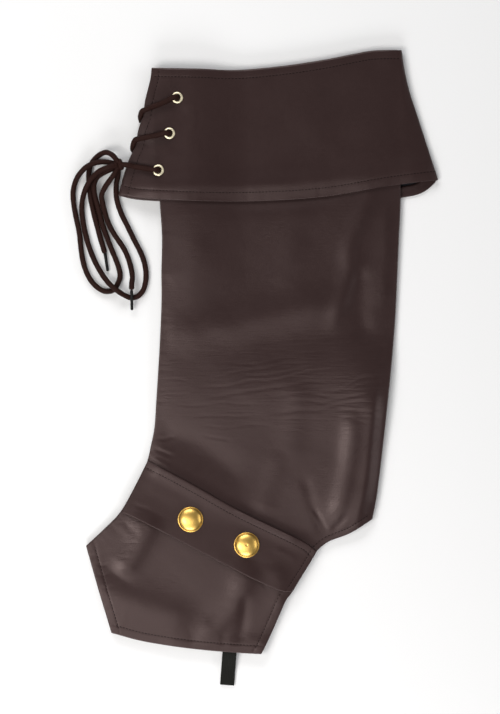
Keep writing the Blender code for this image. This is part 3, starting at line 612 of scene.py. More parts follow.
# %% The bow's four strands, route points in mm
KNOT = (-130.9, 182.0, 9.4)
LOOP_LONG = [
    (-131.4, 181.3, 11.4), (-135.4, 180.8, 13.3), (-139.4, 179.7, 14.2), (-144.4, 177.8, 13.0),
    (-150.0, 174.6, 11.0), (-157.0, 166.9, 9.4), (-162.0, 156.6, 5.8), (-164.2, 145.5, 2.8),
    (-163.2, 132.5, 2.6), (-160.9, 120.2, 2.6), (-156.8, 106.2, 2.6), (-151.7, 94.0, 2.6),
    (-145.6, 83.4, 3.2), (-140.4, 76.6, 7.2), (-135.6, 71.9, 8.2), (-130.6, 68.0, 7.6),
    (-125.4, 64.8, 4.6), (-119.7, 62.8, 2.6), (-113.4, 64.4, 2.6), (-108.6, 70.4, 2.6),
    (-106.4, 80.9, 2.6), (-107.4, 92.3, 2.6), (-111.0, 103.0, 2.6), (-116.6, 114.0, 2.6),
    (-122.6, 126.2, 2.6), (-129.1, 139.7, 2.6), (-132.7, 151.4, 2.6), (-133.2, 163.6, 3.2),
    (-131.8, 171.4, 4.4), (-131.2, 176.6, 6.0), (-130.8, 181.0, 8.0),
]
LOOP_SHORT = [
    (-131.6, 182.4, 8.6), (-136.6, 183.7, 8.4), (-140.8, 184.6, 8.1), (-145.8, 184.7, 8.0),
    (-151.2, 184.1, 7.9), (-156.4, 182.2, 7.8), (-161.4, 179.0, 6.9), (-168.3, 170.8, 3.4),
    (-171.8, 160.0, 2.6), (-171.6, 148.1, 2.6), (-169.2, 134.6, 2.6), (-166.3, 120.2, 2.6),
    (-164.6, 104.2, 2.6), (-161.8, 90.6, 2.6), (-157.0, 79.9, 2.6), (-150.8, 72.6, 2.6),
    (-143.5, 68.6, 2.6), (-136.3, 69.5, 2.6), (-132.1, 74.9, 2.6), (-129.7, 83.0, 2.6),
    (-132.1, 93.3, 2.6), (-136.3, 103.7, 2.6), (-141.3, 116.3, 2.6), (-145.5, 128.4, 2.6),
    (-149.4, 143.3, 4.6), (-152.4, 155.3, 5.8), (-153.0, 164.6, 6.2), (-149.6, 171.4, 6.3),
    (-142.8, 175.8, 6.8), (-136.6, 178.5, 7.7), (-131.4, 180.8, 8.4),
]
END_LEFT = [
    (-130.2, 182.6, 10.6), (-132.6, 186.2, 12.2), (-135.2, 189.6, 12.6), (-138.6, 192.0, 11.2),
    (-142.8, 193.2, 8.4), (-148.2, 191.2, 4.6), (-153.2, 187.0, 2.6), (-157.0, 180.2, 2.6),
    (-158.0, 172.0, 2.6), (-157.5, 164.0, 2.6), (-156.0, 151.4, 2.6), (-153.9, 141.0, 2.6),
    (-151.8, 132.5, 2.6), (-146.8, 114.0, 2.6), (-143.3, 102.6, 2.6),
]
END_RIGHT = [
    (-130.4, 181.0, 10.4), (-132.8, 176.6, 11.6), (-135.0, 172.8, 11.8), (-138.2, 168.6, 10.4),
    (-143.0, 162.0, 7.6), (-146.2, 154.4, 5.8), (-145.0, 146.4, 5.0), (-140.8, 131.4, 3.2),
    (-135.2, 120.2, 2.6), (-126.2, 106.7, 2.6), (-121.0, 94.0, 2.6), (-118.6, 82.4, 5.2),
    (-119.0, 75.6, 7.9), (-119.2, 69.6, 8.7),
]
AGLETS = [
    ("aglet_left", (-143.4, 102.9, 2.5), (-140.9, 86.6, 1.5)),
    ("aglet_right", (-119.2, 69.2, 8.6), (-119.0, 51.6, 3.6)),
]
AGLET_RADIUS = 1.3


def lathe(name, profile, around=40):
    """A turned piece: (radius, height) pairs in mm, from the axis on top down to the axis or an edge."""
    angle = 2 * np.pi * np.arange(around) / around
    r, h = np.array(profile).T
    points = np.stack([r[:, None] * np.cos(angle), r[:, None] * np.sin(angle),
                       np.repeat(h[:, None], around, 1)], -1).reshape(-1, 3)
    faces = ring_faces(around, len(r))[0]
    return mesh_from(name, points, faces[:, [0, 3, 2, 1]])


def stand(made, spot, axis):
    """Puts a turned piece at a spot in mm, its axis along the given direction."""
    made.rotation_mode = "QUATERNION"
    made.rotation_quaternion = Vector((0, 0, 1)).rotation_difference(Vector(axis))
    made.location = Vector(spot) * MM
    return made


# the knot: a turn and a half of lace round the strands, which run through it along X
kx, ky, kz = KNOT
wrap = []
for degrees in range(-60, 481, 30):
    turn = math.radians(degrees)
    share = (degrees + 60) / 540
    swell = 3.1 if 0.08 < share < 0.92 else 2.2
    wrap.append((kx - 3.1 + 6.4 * share, ky - swell * 1.05 * math.sin(turn), kz + swell * math.cos(turn)))
core = [(kx + 5.2, ky - 0.2, kz + 1.0), (kx + 1.5, ky + 0.3, kz + 0.2),
        (kx - 2.0, ky + 0.2, kz), (kx - 6.0, ky - 0.6, kz)]
knot_wrap, _ = lace_tube("lace_knot", wrap)
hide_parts("lace_knot")
lace_tube("lace_knot_core", core, LACE * 0.94)

tips = {}
for name, start, end in AGLETS:
    start, end = np.array(start), np.array(end)
    size = float(np.linalg.norm(end - start))
    R = AGLET_RADIUS
    shape = [(0.001, size), (R * 0.6, size - 0.1), (R * 0.9, size - 0.5), (R, size - 1.2),
             (R, size * 0.62), (R * 0.93, size * 0.6), (R * 0.93, size * 0.57), (R, size * 0.55),
             (R * 1.03, 2.0), (R * 1.12, 0.5), (R * 1.1, 0.1), (R * 0.4, 0.0), (0.001, 0.0)]
    tips[name] = stand(lathe(name + "_tip", shape, 24), start, end - start)
    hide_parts(name)

bow = [("lace_loop_long", LOOP_LONG, "object", None), ("lace_loop_short", LOOP_SHORT, "object", None),
       ("lace_end_left", END_LEFT, "fitting", "aglet_left"),
       ("lace_end_right", END_RIGHT, "fitting", "aglet_right")]
for name, route, far_end, tip in bow:
    tube, line = lace_tube(name, route)
    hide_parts(name)
    print(name, "length, mm:", round(length_of(line)))

# %% [markdown]
# ## Creases
#
# Coated cloth keeps a memory of how it was packed: broad soft swells, and bands of thin creases where it
# bent round the ankle. A crease is a narrow valley with a slight shoulder on each side. Each one here is
# a short curve, given with its own half width and depth, and it fades out at both ends.

# %% Creases of each piece
SHAFT_CREASES = [
    # thin creases at the ankle, the longest first
    (1.4, -0.17, [(-54, -28.6), (-30, -24), (0, -19.6), (24, -16), (43, -12.6), (61, -15)]),
    (1.3, -0.15, [(-62, -18), (-34, -17), (-12, -12), (8, -11.5), (41, -3.6), (77, 0.2)]),
    (1.6, -0.18, [(6, -42), (18, -40.4), (34, -38.5), (50, -38.5), (62, -34.2), (84, -30.4), (106, -32.4)]),
    (1.4, -0.17, [(60, -22), (72, -18), (86, -10), (98, -8.4), (113, -9.6)]),
    (1.4, -0.15, [(58, -36.4), (70, -38), (84, -39.4), (98, -40.6), (110, -44)]),
    (1.3, -0.14, [(112, -13), (99, -14.6), (86, -15.8), (70, -21), (52, -21.4)]),
    (1.2, -0.14, [(-20, -7.6), (4, -7), (22, -3.4), (42, 0.4)]),
    (1.1, -0.12, [(-44, -9.4), (-22, -3.2), (0, -1.2), (18, 3.4), (36, 3)]),
    (1.2, -0.12, [(4, -27.6), (24, -24.4), (46, -23.8), (58, -27), (76, -26.4), (98, -22.6)]),
    (1.3, -0.14, [(20, -31), (38, -30), (52, -31.6), (64, -29.2), (88, -24.8), (113, -24)]),
    (1.1, -0.10, [(-84, -33), (-62, -34.6), (-40, -31.8), (-18, -33), (4, -32.2)]),
    (1.2, -0.12, [(-70, -45), (-46, -43.4), (-24, -44.2), (-6, -42)]),
    (1.1, -0.10, [(-58, -52), (-36, -54.2), (-12, -51.6), (10, -52.6)]),
    (1.3, -0.12, [(-56, -61), (-44, -63.4), (-30, -65)]),
    (1.0, -0.09, [(-90, -23.4), (-78, -24.6), (-66, -23)]),
    (1.0, -0.09, [(-92, -12), (-80, -10.6), (-68, -12)]),
    (1.1, -0.10, [(-34, 3.6), (-8, 3), (14, 8), (30, 9.4)]),
    (1.0, -0.09, [(30, 12), (52, 14), (72, 12.6), (92, 15)]),
    (1.1, -0.10, [(62, 4.4), (80, 8), (98, 6.4), (115, 8)]),
    (1.2, -0.12, [(78, 16.4), (92, 17.6), (104, 19), (117, 18)]),
    (1.1, -0.10, [(48, 21), (66, 20), (84, 24), (96, 23)]),
    (1.4, -0.15, [(108, -64.6), (100, -66.4), (92, -69.4), (84, -75.6), (72, -88)]),
    (1.3, -0.15, [(109, -53.8), (102, -48.6), (95, -45.2), (82, -43.6)]),
    (1.1, -0.12, [(108, -59.6), (101, -56.4), (92, -54.2)]),
    (1.1, -0.12, [(108, -73), (100, -75.4), (92, -80)]),
    (1.2, -0.14, [(64, -47), (76, -45.4), (88, -49), (98, -50.6)]),
    (1.0, -0.10, [(68, -56), (78, -55), (88, -59.4)]),
    (1.0, -0.09, [(12, -48.4), (24, -46), (38, -47)]),
    (1.0, -0.09, [(16, -58), (26, -56.6), (36, -58.4)]),
    # small marks across the right-hand swell
    (0.9, -0.06, [(83, 89), (92, 90), (101, 89)]),
    (0.9, -0.06, [(81, 80), (92, 79), (103, 81)]),
    (0.9, -0.06, [(70, 72), (78, 73), (84, 72)]),
    (0.9, -0.06, [(64, 58), (72, 58.6), (79, 57)]),
    (0.9, -0.06, [(86, 70), (96, 69), (106, 71)]),
    # where the cloth meets the band
    (1.6, -0.3, [(44, -126), (51, -137), (57, -148)]),
    (2.4, -0.4, [(74, -132), (68, -140), (60, -148)]),
    (1.6, -0.25, [(-98, -64), (-90, -64.4), (-80, -61)]),
    (1.7, -0.3, [(-101, -72), (-92, -76), (-82, -80)]),
    (1.5, 0.25, [(-104, -79), (-94, -84), (-84, -90)]),
]
BAND_CREASES = [
    (6.0, 0.2, [(-112, -100), (-92, -112), (-70, -122)]),
    (9.0, -0.3, [(-40, -160), (-18, -172), (2, -184)]),
    (3.0, 0.2, [(8, -162), (20, -168), (30, -174)]),
    (6.0, 1.8, [(-26, -124), (-6, -134), (14, -144), (34, -154)]),
    (1.4, -0.12, [(-118, -122), (-110, -126), (-102, -127)]),
]
FOOT_CREASES = [
    (2.2, -0.15, [(-126, -138), (-122, -144), (-116, -149)]),
    (2.4, 0.15, [(-118, -136), (-112, -144), (-108, -152)]),
    (3.0, -0.2, [(-36, -238), (-37, -246), (-36, -252)]),
    (1.4, -0.12, [(-152, -176), (-146, -178), (-140, -177)]),
    (1.4, -0.12, [(-151, -186), (-145, -187), (-139, -185)]),
    (1.4, -0.12, [(-147, -198), (-141, -198), (-136, -196)]),
    (1.4, -0.12, [(-144, -210), (-138, -209), (-132, -207)]),
    (1.2, -0.06, [(-130, -166), (-122, -164), (-114, -165)]),
    (1.2, -0.06, [(-132, -172), (-124, -171), (-116, -172)]),
    (1.2, -0.06, [(-127, -159), (-119, -157), (-111, -159)]),
    (1.4, -0.12, [(-8, -186), (-2, -192), (2, -200)]),
]
CUFF_CREASES = [
    (14.0, 0.5, [(10, 258), (60, 262), (104, 272)]),
    (16.0, -0.4, [(-30, 196), (10, 192), (50, 196)]),
    (9.0, 0.7, [(56, 184), (84, 188), (106, 192), (126, 196)]),
    (10.0, 0.5, [(-90, 250), (-96, 226), (-104, 200)]),
    (8.0, -0.4, [(-70, 236), (-76, 214), (-82, 190)]),
    (1.5, -0.12, [(80, 224), (92, 226), (104, 226)]),
    (1.3, -0.10, [(76, 218), (88, 219), (98, 221)]),
    (1.6, -0.14, [(92, 186), (104, 192), (116, 195), (126, 194)]),
    (1.5, -0.14, [(84, 180), (98, 184), (112, 188), (128, 188)]),
    (1.4, -0.12, [(102, 198), (112, 201), (122, 201)]),
    (1.4, -0.12, [(70, 178), (82, 179), (94, 184)]),
    (1.3, -0.10, [(108, 180), (120, 183), (132, 184)]),
    (1.3, -0.10, [(-82, 262), (-82.6, 256), (-82, 251)]),
    (2.0, -0.10, [(-36, 176), (-40, 186), (-38, 198)]),
    (2.0, -0.10, [(-62, 210), (-58, 222), (-60, 234)]),
    (1.8, -0.08, [(-34, 224), (-30, 236), (-31, 246)]),
]
# the hidden side was packed with the same cover, so it has its own like creases
INNER_CREASES = [
    (10.0, 0.9, [(-60, 60), (-20, 70), (30, 62)]),
    (8.0, 0.8, [(70, 90), (62, 50), (66, 14)]),
    (2.4, 0.5, [(-70, -14), (-30, -20), (10, -16), (52, -22)]),
    (2.0, 0.45, [(-50, -30), (-14, -34), (24, -30)]),
    (2.2, 0.5, [(20, -42), (54, -38), (92, -46)]),
    (2.0, 0.4, [(40, -8), (70, -2), (98, -6)]),
    (2.0, 0.45, [(-80, -52), (-50, -56), (-26, -52)]),
    (5.0, 0.8, [(60, -60), (56, -90), (60, -124)]),
    (6.0, 0.8, [(-70, -80), (-30, -98), (4, -116)]),
    (6.0, 0.8, [(-110, -170), (-90, -200), (-60, -222)]),
    (5.0, 0.6, [(-20, -196), (-22, -220), (-14, -238)]),
    (9.0, 0.6, [(20, 200), (60, 214), (100, 210)]),
]
crease_count = sum(map(len, (SHAFT_CREASES, BAND_CREASES, FOOT_CREASES, CUFF_CREASES, INNER_CREASES)))
print("creases placed:", crease_count)

# %% [markdown]
# ## Sewn edges
#
# An edge of such a cover is either a hem, where the cloth is folded under and stitched down, or a seam,
# where two panels were sewn face to face and turned, so that each rolls over at the edge. Both begin as
# the same thing: the flat panel ends a little short of the outline, and more rows of cloth carry on from
# there round an arc. A seam's arc stops past the outline's upright. A hem's arc makes a full half turn and
# runs back below the panel. At a corner the two folds share one mitred line.

# %% Edges with their runs
THIN = 0.9
HEM_RADIUS = 0.95
SEAM_RADIUS = 1.15
HEM_TURN_IN = 8.6
MITRE_REACH = 4.0


def arc_profile(radius, degrees, steps):
    """(outwards from the outline, down from the face) round an arc that starts a radius inside."""
    turn = np.radians(np.linspace(0, degrees, steps + 1)[1:])
    return [(-radius + radius * math.sin(a), radius - radius * math.cos(a)) for a in turn]


def hem_profile(width=HEM_TURN_IN):
    """A half turn under and then inwards below the panel."""
    inward = [(-HEM_RADIUS - width * s, 2 * HEM_RADIUS) for s in (0.15, 0.35, 0.6, 0.8, 1.0)]
    return arc_profile(HEM_RADIUS, 180, 8) + inward


SEAM_PROFILE = arc_profile(SEAM_RADIUS, 118, 7)


class Run:
    """One stretch of an outline: its line, how it is finished, and the share of its side where it ends."""

    def __init__(self, line, finish="raw", ends=1.0, width=HEM_TURN_IN):
        self.line, self.finish, self.ends = line, finish, ends
        self.radius = {"raw": 0.0, "hem": HEM_RADIUS, "seam": SEAM_RADIUS}[finish]
        self.profile = {"raw": [], "hem": hem_profile(width), "seam": SEAM_PROFILE}[finish]
        self.scale = np.ones_like


def side_points(runs, shares, outward_left):
    """A side's points, outward normals, radii and run numbers at the given shares."""
    points = np.zeros((len(shares), 2))
    normals = np.zeros((len(shares), 2))
    number = np.zeros(len(shares), int)
    scale = np.ones(len(shares))
    start = 0.0
    for k, run in enumerate(runs):
        mine = (shares >= start - 1e-9) & (shares <= run.ends + 1e-9)
        local = np.clip((shares[mine] - start) / (run.ends - start), 0, 1)
        points[mine] = read(run.line, local)
        turned = left_of(heading(run.line, local))
        normals[mine] = turned if outward_left else -turned
        number[mine] = k
        scale[mine] = run.scale(local)
        start = run.ends
    return points, normals, number, scale


def corner_shift(n1, r1, n2, r2):
    """How far the cloth's flat corner stands in from the outline's corner."""
    matrix = np.array([n1, n2])
    if abs(np.linalg.det(matrix)) < 0.15:
        return -(n1 * r1 + n2 * r2) / 2
    return np.linalg.solve(matrix, [-r1, -r2])


def shifts(points, normals, radii, corners):
    """The inward step of each point of a side, eased to the mitred step at the corners given."""
    step = -normals * radii[:, None]
    for index, wanted in corners:
        off = np.linalg.norm(points - points[index], axis=1)
        share = ease(1 - off / MITRE_REACH)[:, None]
        step = step * (1 - share) + wanted * share
    return step


# %% A panel of cloth between four sides
rear_columns = {}


def quads(first, second, flip):
    """Faces between two rows of point numbers."""
    rows = np.stack([first[:-1], first[1:], second[1:], second[:-1]], axis=1)
    return rows[:, ::-1] if flip else rows


def panel(name, bottom, top, left, right, face, us, vs, up=1, keep=None):
    """A cloth panel between four sides, which are lists of runs.

    face gives the height of its outer face, and up is -1 on the lower side.
    """
    us, vs = np.array(us), np.array(vs)
    sides = {"bottom": (bottom, us, False), "top": (top, us, True),
             "left": (left, vs, True), "right": (right, vs, False)}
    data = {k: side_points(runs, shares, turn) for k, (runs, shares, turn) in sides.items()}
    radius = {k: np.array([sides[k][0][n].radius for n in data[k][2]]) * data[k][3] for k in sides}
    joint = {("bottom", 0): ("left", 0), ("bottom", -1): ("right", 0),
             ("top", 0): ("left", -1), ("top", -1): ("right", -1)}
    corner = {k: [] for k in sides}
    for (side, i), (other, j) in joint.items():
        wanted = corner_shift(data[side][1][i], radius[side][i], data[other][1][j], radius[other][j])
        corner[side].append((i, wanted))
        corner[other].append((j, wanted))
    for k, (runs, shares, turn) in sides.items():
        number = data[k][2]
        for i in np.flatnonzero(np.diff(number)) + 1:
            before, after = runs[number[i - 1]], runs[number[i]]
            corner[k].append((i, corner_shift(data[k][1][i - 1], before.radius, data[k][1][i], after.radius)))
    step = {k: shifts(data[k][0], data[k][1], radius[k], corner[k]) for k in sides}
    edge = {k: data[k][0] + step[k] for k in sides}

    u, v = us[None, :, None], vs[:, None, None]
    low, high = edge["bottom"], edge["top"]
    flat = (low[0] * (1 - u) + low[-1] * u) * (1 - v) + (high[0] * (1 - u) + high[-1] * u) * v
    spot = (low[None] * (1 - v) + high[None] * v
            + edge["left"][:, None] * (1 - u) + edge["right"][:, None] * u - flat)
    x, y = spot[..., 0], spot[..., 1]
    z = face(x, y)
    points = [np.stack([x, y, z], axis=-1).reshape(-1, 3)]
    count = x.size
    index = np.arange(count).reshape(x.shape)
    faces = []
    for i in range(len(vs) - 1):
        rows = quads(index[i], index[i + 1], up < 0)
        if keep is not None:
            centre = (spot[i, :-1] + spot[i + 1, 1:]) / 2
            rows = rows[keep(centre[:, 0], centre[:, 1])]
        faces.append(rows)

    column = [(p, 0.0) for p in points[0].reshape(*x.shape, 3)[:, -1]]
    border = {"bottom": index[0], "top": index[-1], "left": index[:, 0], "right": index[:, -1]}
    flips = {"bottom": True, "top": False, "left": False, "right": True}
    for k, (runs, shares, turn) in sides.items():
        start = 0.0
        for run in runs:
            mine = np.flatnonzero((shares >= start - 1e-9) & (shares <= run.ends + 1e-9))
            start = run.ends
            if not run.profile:
                continue
            size = data[k][3][mine]
            base, out = data[k][0][mine], -step[k][mine] / (run.radius * size)[:, None]
            previous = border[k][mine]
            rear = []
            for outwards, down in run.profile:
                outwards, down = outwards * size, down * size
                xy = base + out * outwards[:, None]
                inside = base + out * np.minimum(outwards, -run.radius * size)[:, None]
                height = face(inside[:, 0], inside[:, 1]) - up * down
                points.append(np.column_stack([xy, height]))
                row = np.arange(count, count + len(mine))
                count += len(mine)
                faces.append(quads(previous, row, flips[k] != (up < 0)))
                previous = row
                rear.append((points[-1][-1], down[-1]))
            if k in ("bottom", "top"):
                column = column + rear if k == "top" else rear[::-1] + column
    rear_columns[name] = column
    return mesh_from(name, np.vstack(points), np.vstack(faces))


def wall(piece):
    """Gives a panel its thickness, inwards from its outer face."""
    solid = piece.modifiers.new("wall", "SOLIDIFY")
    solid.thickness = THIN * MM
    solid.offset = -1.0
    solid.material_offset = 1
    solid.material_offset_rim = 1


print("hem rows:", len(hem_profile()), " seam rows:", len(SEAM_PROFILE))

# %% [markdown]
# ## Unevenness, puckers and hems
#
# Three things keep sewn cloth from being perfectly even. The sheet itself is a little wavy. Along every
# seam and hem the thread draws it into small puckers. And a hem is thicker than the cloth beside it, with
# a narrow groove where the stitches hold it down.

# %% Small shapes that all panels share
def waves(seed, short, long, count=7):
    """A seeded uneven surface of about one unit, made of waves in several directions."""
    dice = np.random.default_rng(seed)
    turn, phase = dice.uniform(0, 2 * np.pi, (2, count))
    size = dice.uniform(short, long, count)

    def height(x, y):
        total = sum(np.sin(2 * np.pi * (x * np.cos(h) + y * np.sin(h)) / s + p)
                    for h, s, p in zip(turn, size, phase))
        return total / math.sqrt(count)
    return height


def pucker(x, y, line, seed, amount, reach, period=9.0):
    """Small ripples across an edge, strongest at the edge and uneven along it."""
    off, share = nearest(x, y, line)
    s = share * length_of(line)
    phase = np.random.default_rng(seed).uniform(0, 2 * np.pi, 4)
    ripple = (np.sin(2 * np.pi * s / period + phase[0])
              + 0.8 * np.sin(2 * np.pi * s / (period * 1.7) + phase[1])
              + 0.6 * np.sin(2 * np.pi * s / (period * 0.63) + phase[2]))
    strength = 0.6 + 0.4 * np.sin(2 * np.pi * s / (period * 4.3) + phase[3])
    return amount * ripple * strength * np.exp(-off / reach) * (1 - np.exp(-off / 1.2))


def hem_shape(x, y, line, width, swell=0.25, groove=0.25):
    """Extra height beside a hemmed edge: full over the folded cloth, drawn in at the stitch line."""
    off, share = nearest(x, y, line)
    s = share * length_of(line)
    full = swell * np.sin(np.pi * np.clip(off / width, 0, 1)) ** 0.7
    pull = 1 + 0.35 * np.sin(2 * np.pi * s / 3.0) + 0.25 * np.sin(2 * np.pi * s / 13.7)
    drawn = groove * pull * np.exp(-((off - width) / 0.8) ** 2)
    return full - drawn


soft_waves = waves(11, 26.0, 60.0)
small_waves = waves(23, 9.0, 20.0, 9)
inner_waves = waves(37, 24.0, 50.0)
SOFT_WAVE = 0.08
SMALL_WAVE = 0.012
INNER_WAVE = 0.22
LOWER_GROOVE = 0.4
ON_TABLE = 0.02
SEAM_FADE = 9.0
FOLD_FADE = 8.0


def away(off, fade):
    """0 within a millimetre of an edge, rising to 1 over the fade."""
    return ease((off - 1.0) / fade)


def worn(x, y, creases, small=SMALL_WAVE):
    """The creases of a piece and the unevenness of its sheet."""
    return creased(x, y, creases) + SOFT_WAVE * soft_waves(x, y) + small * small_waves(x, y)


def stretch_rows(pieces):
    """Shares from (length, step) stretches laid end to end."""
    places = [0.0]
    for size, step in pieces:
        count = max(1, round(size / step))
        places += list(places[-1] + size * np.arange(1, count + 1) / count)
    return sorted(set(np.round(np.array(places) / places[-1], 6)))


# %% [markdown]
# ## The shaft
#
# Two large panels meet in seams down the front and the back. The outer one carries the creases that show.
# Below, the outer panel ends in a short hem at the heel and otherwise runs under the instep band. The
# inner panel rests on the table, so its creases only ever rise into the hollow between the two.

# %% Outer and inner side of the shaft
HEEL_HEM_WIDTH = 5.0
HEEL_TURN = HEEL_HEM_WIDTH + 1.5
SHAFT_WIDE = 212
BOTTOM_CORNER = length_of(SHAFT_FOOT_SEAM) / (length_of(SHAFT_FOOT_SEAM) + length_of(HEEL_HEM))


def shaft_face(x, y):
    seam = seam_distance(x, y)
    free = away(seam, SEAM_FADE)
    height = outer_top(x, y)
    height = height + free * worn(x, y, SHAFT_CREASES)
    height = height + pucker(x, y, FRONT_SEAM, 3, 0.07, 6.0) + pucker(x, y, BACK_SEAM, 4, 0.08, 7.0, 11.0)
    return height + hem_shape(x, y, HEEL_HEM, HEEL_HEM_WIDTH, 0.1, 0.15)


def lower_groove(x, y, line, width):
    """The stitch line of a hem that rests on the table, drawn up from it."""
    off, share = nearest(x, y, line)
    pull = 1 + 0.35 * np.sin(2 * np.pi * share * length_of(line) / 3.0)
    return LOWER_GROOVE * pull * np.exp(-((off - width) / 0.8) ** 2)


def resting(x, y):
    """The lower face of the inner side, a little uneven but never below the table."""
    uneven = INNER_WAVE * np.clip(inner_waves(x, y), 0, None) + creased(x, y, INNER_CREASES)
    return np.maximum(inner_under(x, y) + uneven, ON_TABLE)


def shaft_inner_face(x, y):
    return resting(x, y) + lower_groove(x, y, HEEL_HEM, HEEL_HEM_WIDTH)


def shaft_sides(foot_finish):
    bottom = [Run(SHAFT_FOOT_SEAM, foot_finish, corner_at),
              Run(HEEL_HEM, "hem", 1.0, HEEL_TURN)]
    return bottom, [Run(SHAFT_TOP)], [Run(FRONT_SEAM, "seam")], [Run(BACK_SEAM, "seam")]


def every_other(shares, *corners):
    """Every second share, and with them the corners and the end: enough for a side that lies below."""
    return [s for i, s in enumerate(shares) if i % 2 == 0 or s in (*corners, 1.0)]


over_foot = SHAFT_WIDE * BOTTOM_CORNER - 3
over_heel = SHAFT_WIDE * (1 - BOTTOM_CORNER) - 6
shaft_us = stretch_rows([(3, 1.0), (over_foot, 1.9), (3, 1.5), (over_heel, 1.7), (3, 1.0)])
corner_at = min(shaft_us, key=lambda s: abs(s - BOTTOM_CORNER))
shaft_vs = stretch_rows([(9, 0.75), (150, 1.05), (95, 1.8), (14, 2.2), (110, 3.4)])
shaft_outer = panel("shaft_outer_cloth", *shaft_sides("raw"), shaft_face, shaft_us, shaft_vs)
wall(shaft_outer)

inner_us = every_other(shaft_us, corner_at)
inner_vs = stretch_rows([(9, 1.2), (150, 2.4), (95, 3.4), (124, 4.6)])
shaft_inner = panel("shaft_inner_cloth", *shaft_sides("seam"), shaft_inner_face, inner_us, inner_vs, up=-1)
wall(shaft_inner)
for piece, node in ((shaft_outer, "shaft_outer"), (shaft_inner, "shaft_inner")):
    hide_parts(node)
    print(piece.name, "faces:", len(piece.data.polygons))

# %% [markdown]
# ## The flap over the foot
#
# The flap is hemmed at the toe, along the sole and up the heel, and those three edges stay open. Its
# outer side has the large soft dents of cloth that once lay over a shoe.

# %% Outer and inner side of the flap
FOOT_HEM_WIDTH = 7.5
FOOT_TURN = FOOT_HEM_WIDTH + 1.2
FOOT_TOP = SHAFT_FOOT_SEAM + np.array([-0.2, -0.6])
FOOT_FRONT_CORNER = length_of(TOE_HEM) / (length_of(TOE_HEM) + length_of(INSTEP_SEAM))
FOOT_HEMS = [(TOE_HEM, FOOT_HEM_WIDTH), (SOLE_HEM, FOOT_HEM_WIDTH), (HEEL_EDGE, FOOT_HEM_WIDTH)]


def foot_face(x, y):
    free = away(distance(x, y, INSTEP_SEAM), SEAM_FADE)
    height = outer_top(x, y)
    height = height + free * worn(x, y, FOOT_CREASES)
    for seed, (line, width) in enumerate(FOOT_HEMS):
        height = height + hem_shape(x, y, line, width, 0.1, 0.16) + pucker(x, y, line, seed, 0.05, 12.0, 10.0)
    return height + pucker(x, y, INSTEP_SEAM, 9, 0.08, 6.0)


def foot_inner_face(x, y):
    return resting(x, y) + sum(lower_groove(x, y, line, width) for line, width in FOOT_HEMS)


def foot_sides(top_finish):
    bottom = [Run(SOLE_HEM, "hem", 1.0, FOOT_TURN)]
    front = [Run(TOE_HEM[::-1], "hem", foot_corner, FOOT_TURN), Run(INSTEP_SEAM[::-1], "seam")]
    rear = [Run(HEEL_EDGE, "hem", 1.0, FOOT_TURN)]
    return bottom, [Run(FOOT_TOP, top_finish)], front, rear


fine = [(9, 0.75), (4, 1.0)]
foot_us = stretch_rows(fine + [(116, 1.35)] + fine[::-1])
foot_vs = stretch_rows(fine + [(124, 1.35), (6, 1.0)])
foot_corner = min(foot_vs, key=lambda s: abs(s - FOOT_FRONT_CORNER))
foot_outer = panel("foot_outer_cloth", *foot_sides("raw"), foot_face, foot_us, foot_vs)
wall(foot_outer)
foot_inner = panel("foot_inner_cloth", *foot_sides("seam"), foot_inner_face, every_other(foot_us),
                   every_other(foot_vs, foot_corner), up=-1)
wall(foot_inner)
for piece, node in ((foot_outer, "foot_outer"), (foot_inner, "foot_inner")):
    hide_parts(node)
    print(piece.name, "faces:", len(piece.data.polygons))

# %% [markdown]
# ## The instep band
#
# A strip is stitched over the seam between shaft and flap. Its long edges and its rear end are turned
# under; its front end goes into the front seam. It lies on both panels, so its height is theirs plus its
# own thickness.

# %% The band
BAND_STITCH = 6.5
BAND_RISE = 0.35
BAND_EDGE_RISE = 0.3
BAND_TILT = 0.022
BAND_MIDDLE = 20.0
BAND_REAR_STITCH = 5.0
BAND_TURN = 5.0


def band_face(x, y):
    height = band_top(x, y) + BAND_RISE + creased(x, y, BAND_CREASES) + 0.015 * small_waves(x, y)
    off = distance(x, y, BAND_TOP)
    height = height + BAND_TILT * (off - BAND_MIDDLE)
    height = height + BAND_EDGE_RISE * ease(1 - off / BAND_STITCH)
    height = height + hem_shape(x, y, BAND_TOP, BAND_STITCH, 0.0, 0.12)
    height = height + hem_shape(x, y, BAND_REAR, BAND_REAR_STITCH, 0.05, 0.12)
    return height + pucker(x, y, BAND_BOTTOM, 15, 0.05, 5.0)


band_us = stretch_rows([(6, 0.75), (160, 1.5), (8, 0.75)])
band_vs = stretch_rows([(3, 0.75), (36, 1.4), (10, 0.75)])
band = panel("instep_band_cloth", [Run(BAND_BOTTOM, "hem", 1.0, BAND_TURN)],
             [Run(BAND_TOP, "hem", 1.0, BAND_TURN)], [Run(BAND_FRONT, "seam")],
             [Run(BAND_REAR, "hem", 1.0, BAND_TURN)], band_face, band_us, band_vs)
wall(band)
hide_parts("instep_band")
print(band.name, "faces:", len(band.data.polygons))

# %% [markdown]
# ## The cuff
#
# One strip of cloth forms the whole cuff. It begins at the laced edge of the outer side, folds softly
# round at the back and comes forward again on the inner side to a second laced edge. Along the top it
# curls over the shaft's rim and is stitched there; below it hangs free over the shaft, with a hem.

# %% The cuff's two faces
CUFF_STITCH = 8.0
CUFF_TOP_WIDTH = 8.0
CUFF_EDGE_WIDTH = 7.0
FOLD_RADIUS = 1.9
FOLD_FULL = 0.3
CUFF_TOP_ENDS = 16.0
CUFF_TOP_FULLER = 0.95
CUFF_TURN = CUFF_STITCH + 1.2
CUFF_EDGE_TURN = 8.0
CUFF_INNER_WAVE = 0.2
FREE_EDGE_DROP = 0.3
EYELET_CUT = 3.3
FOLD_POINTS = 40


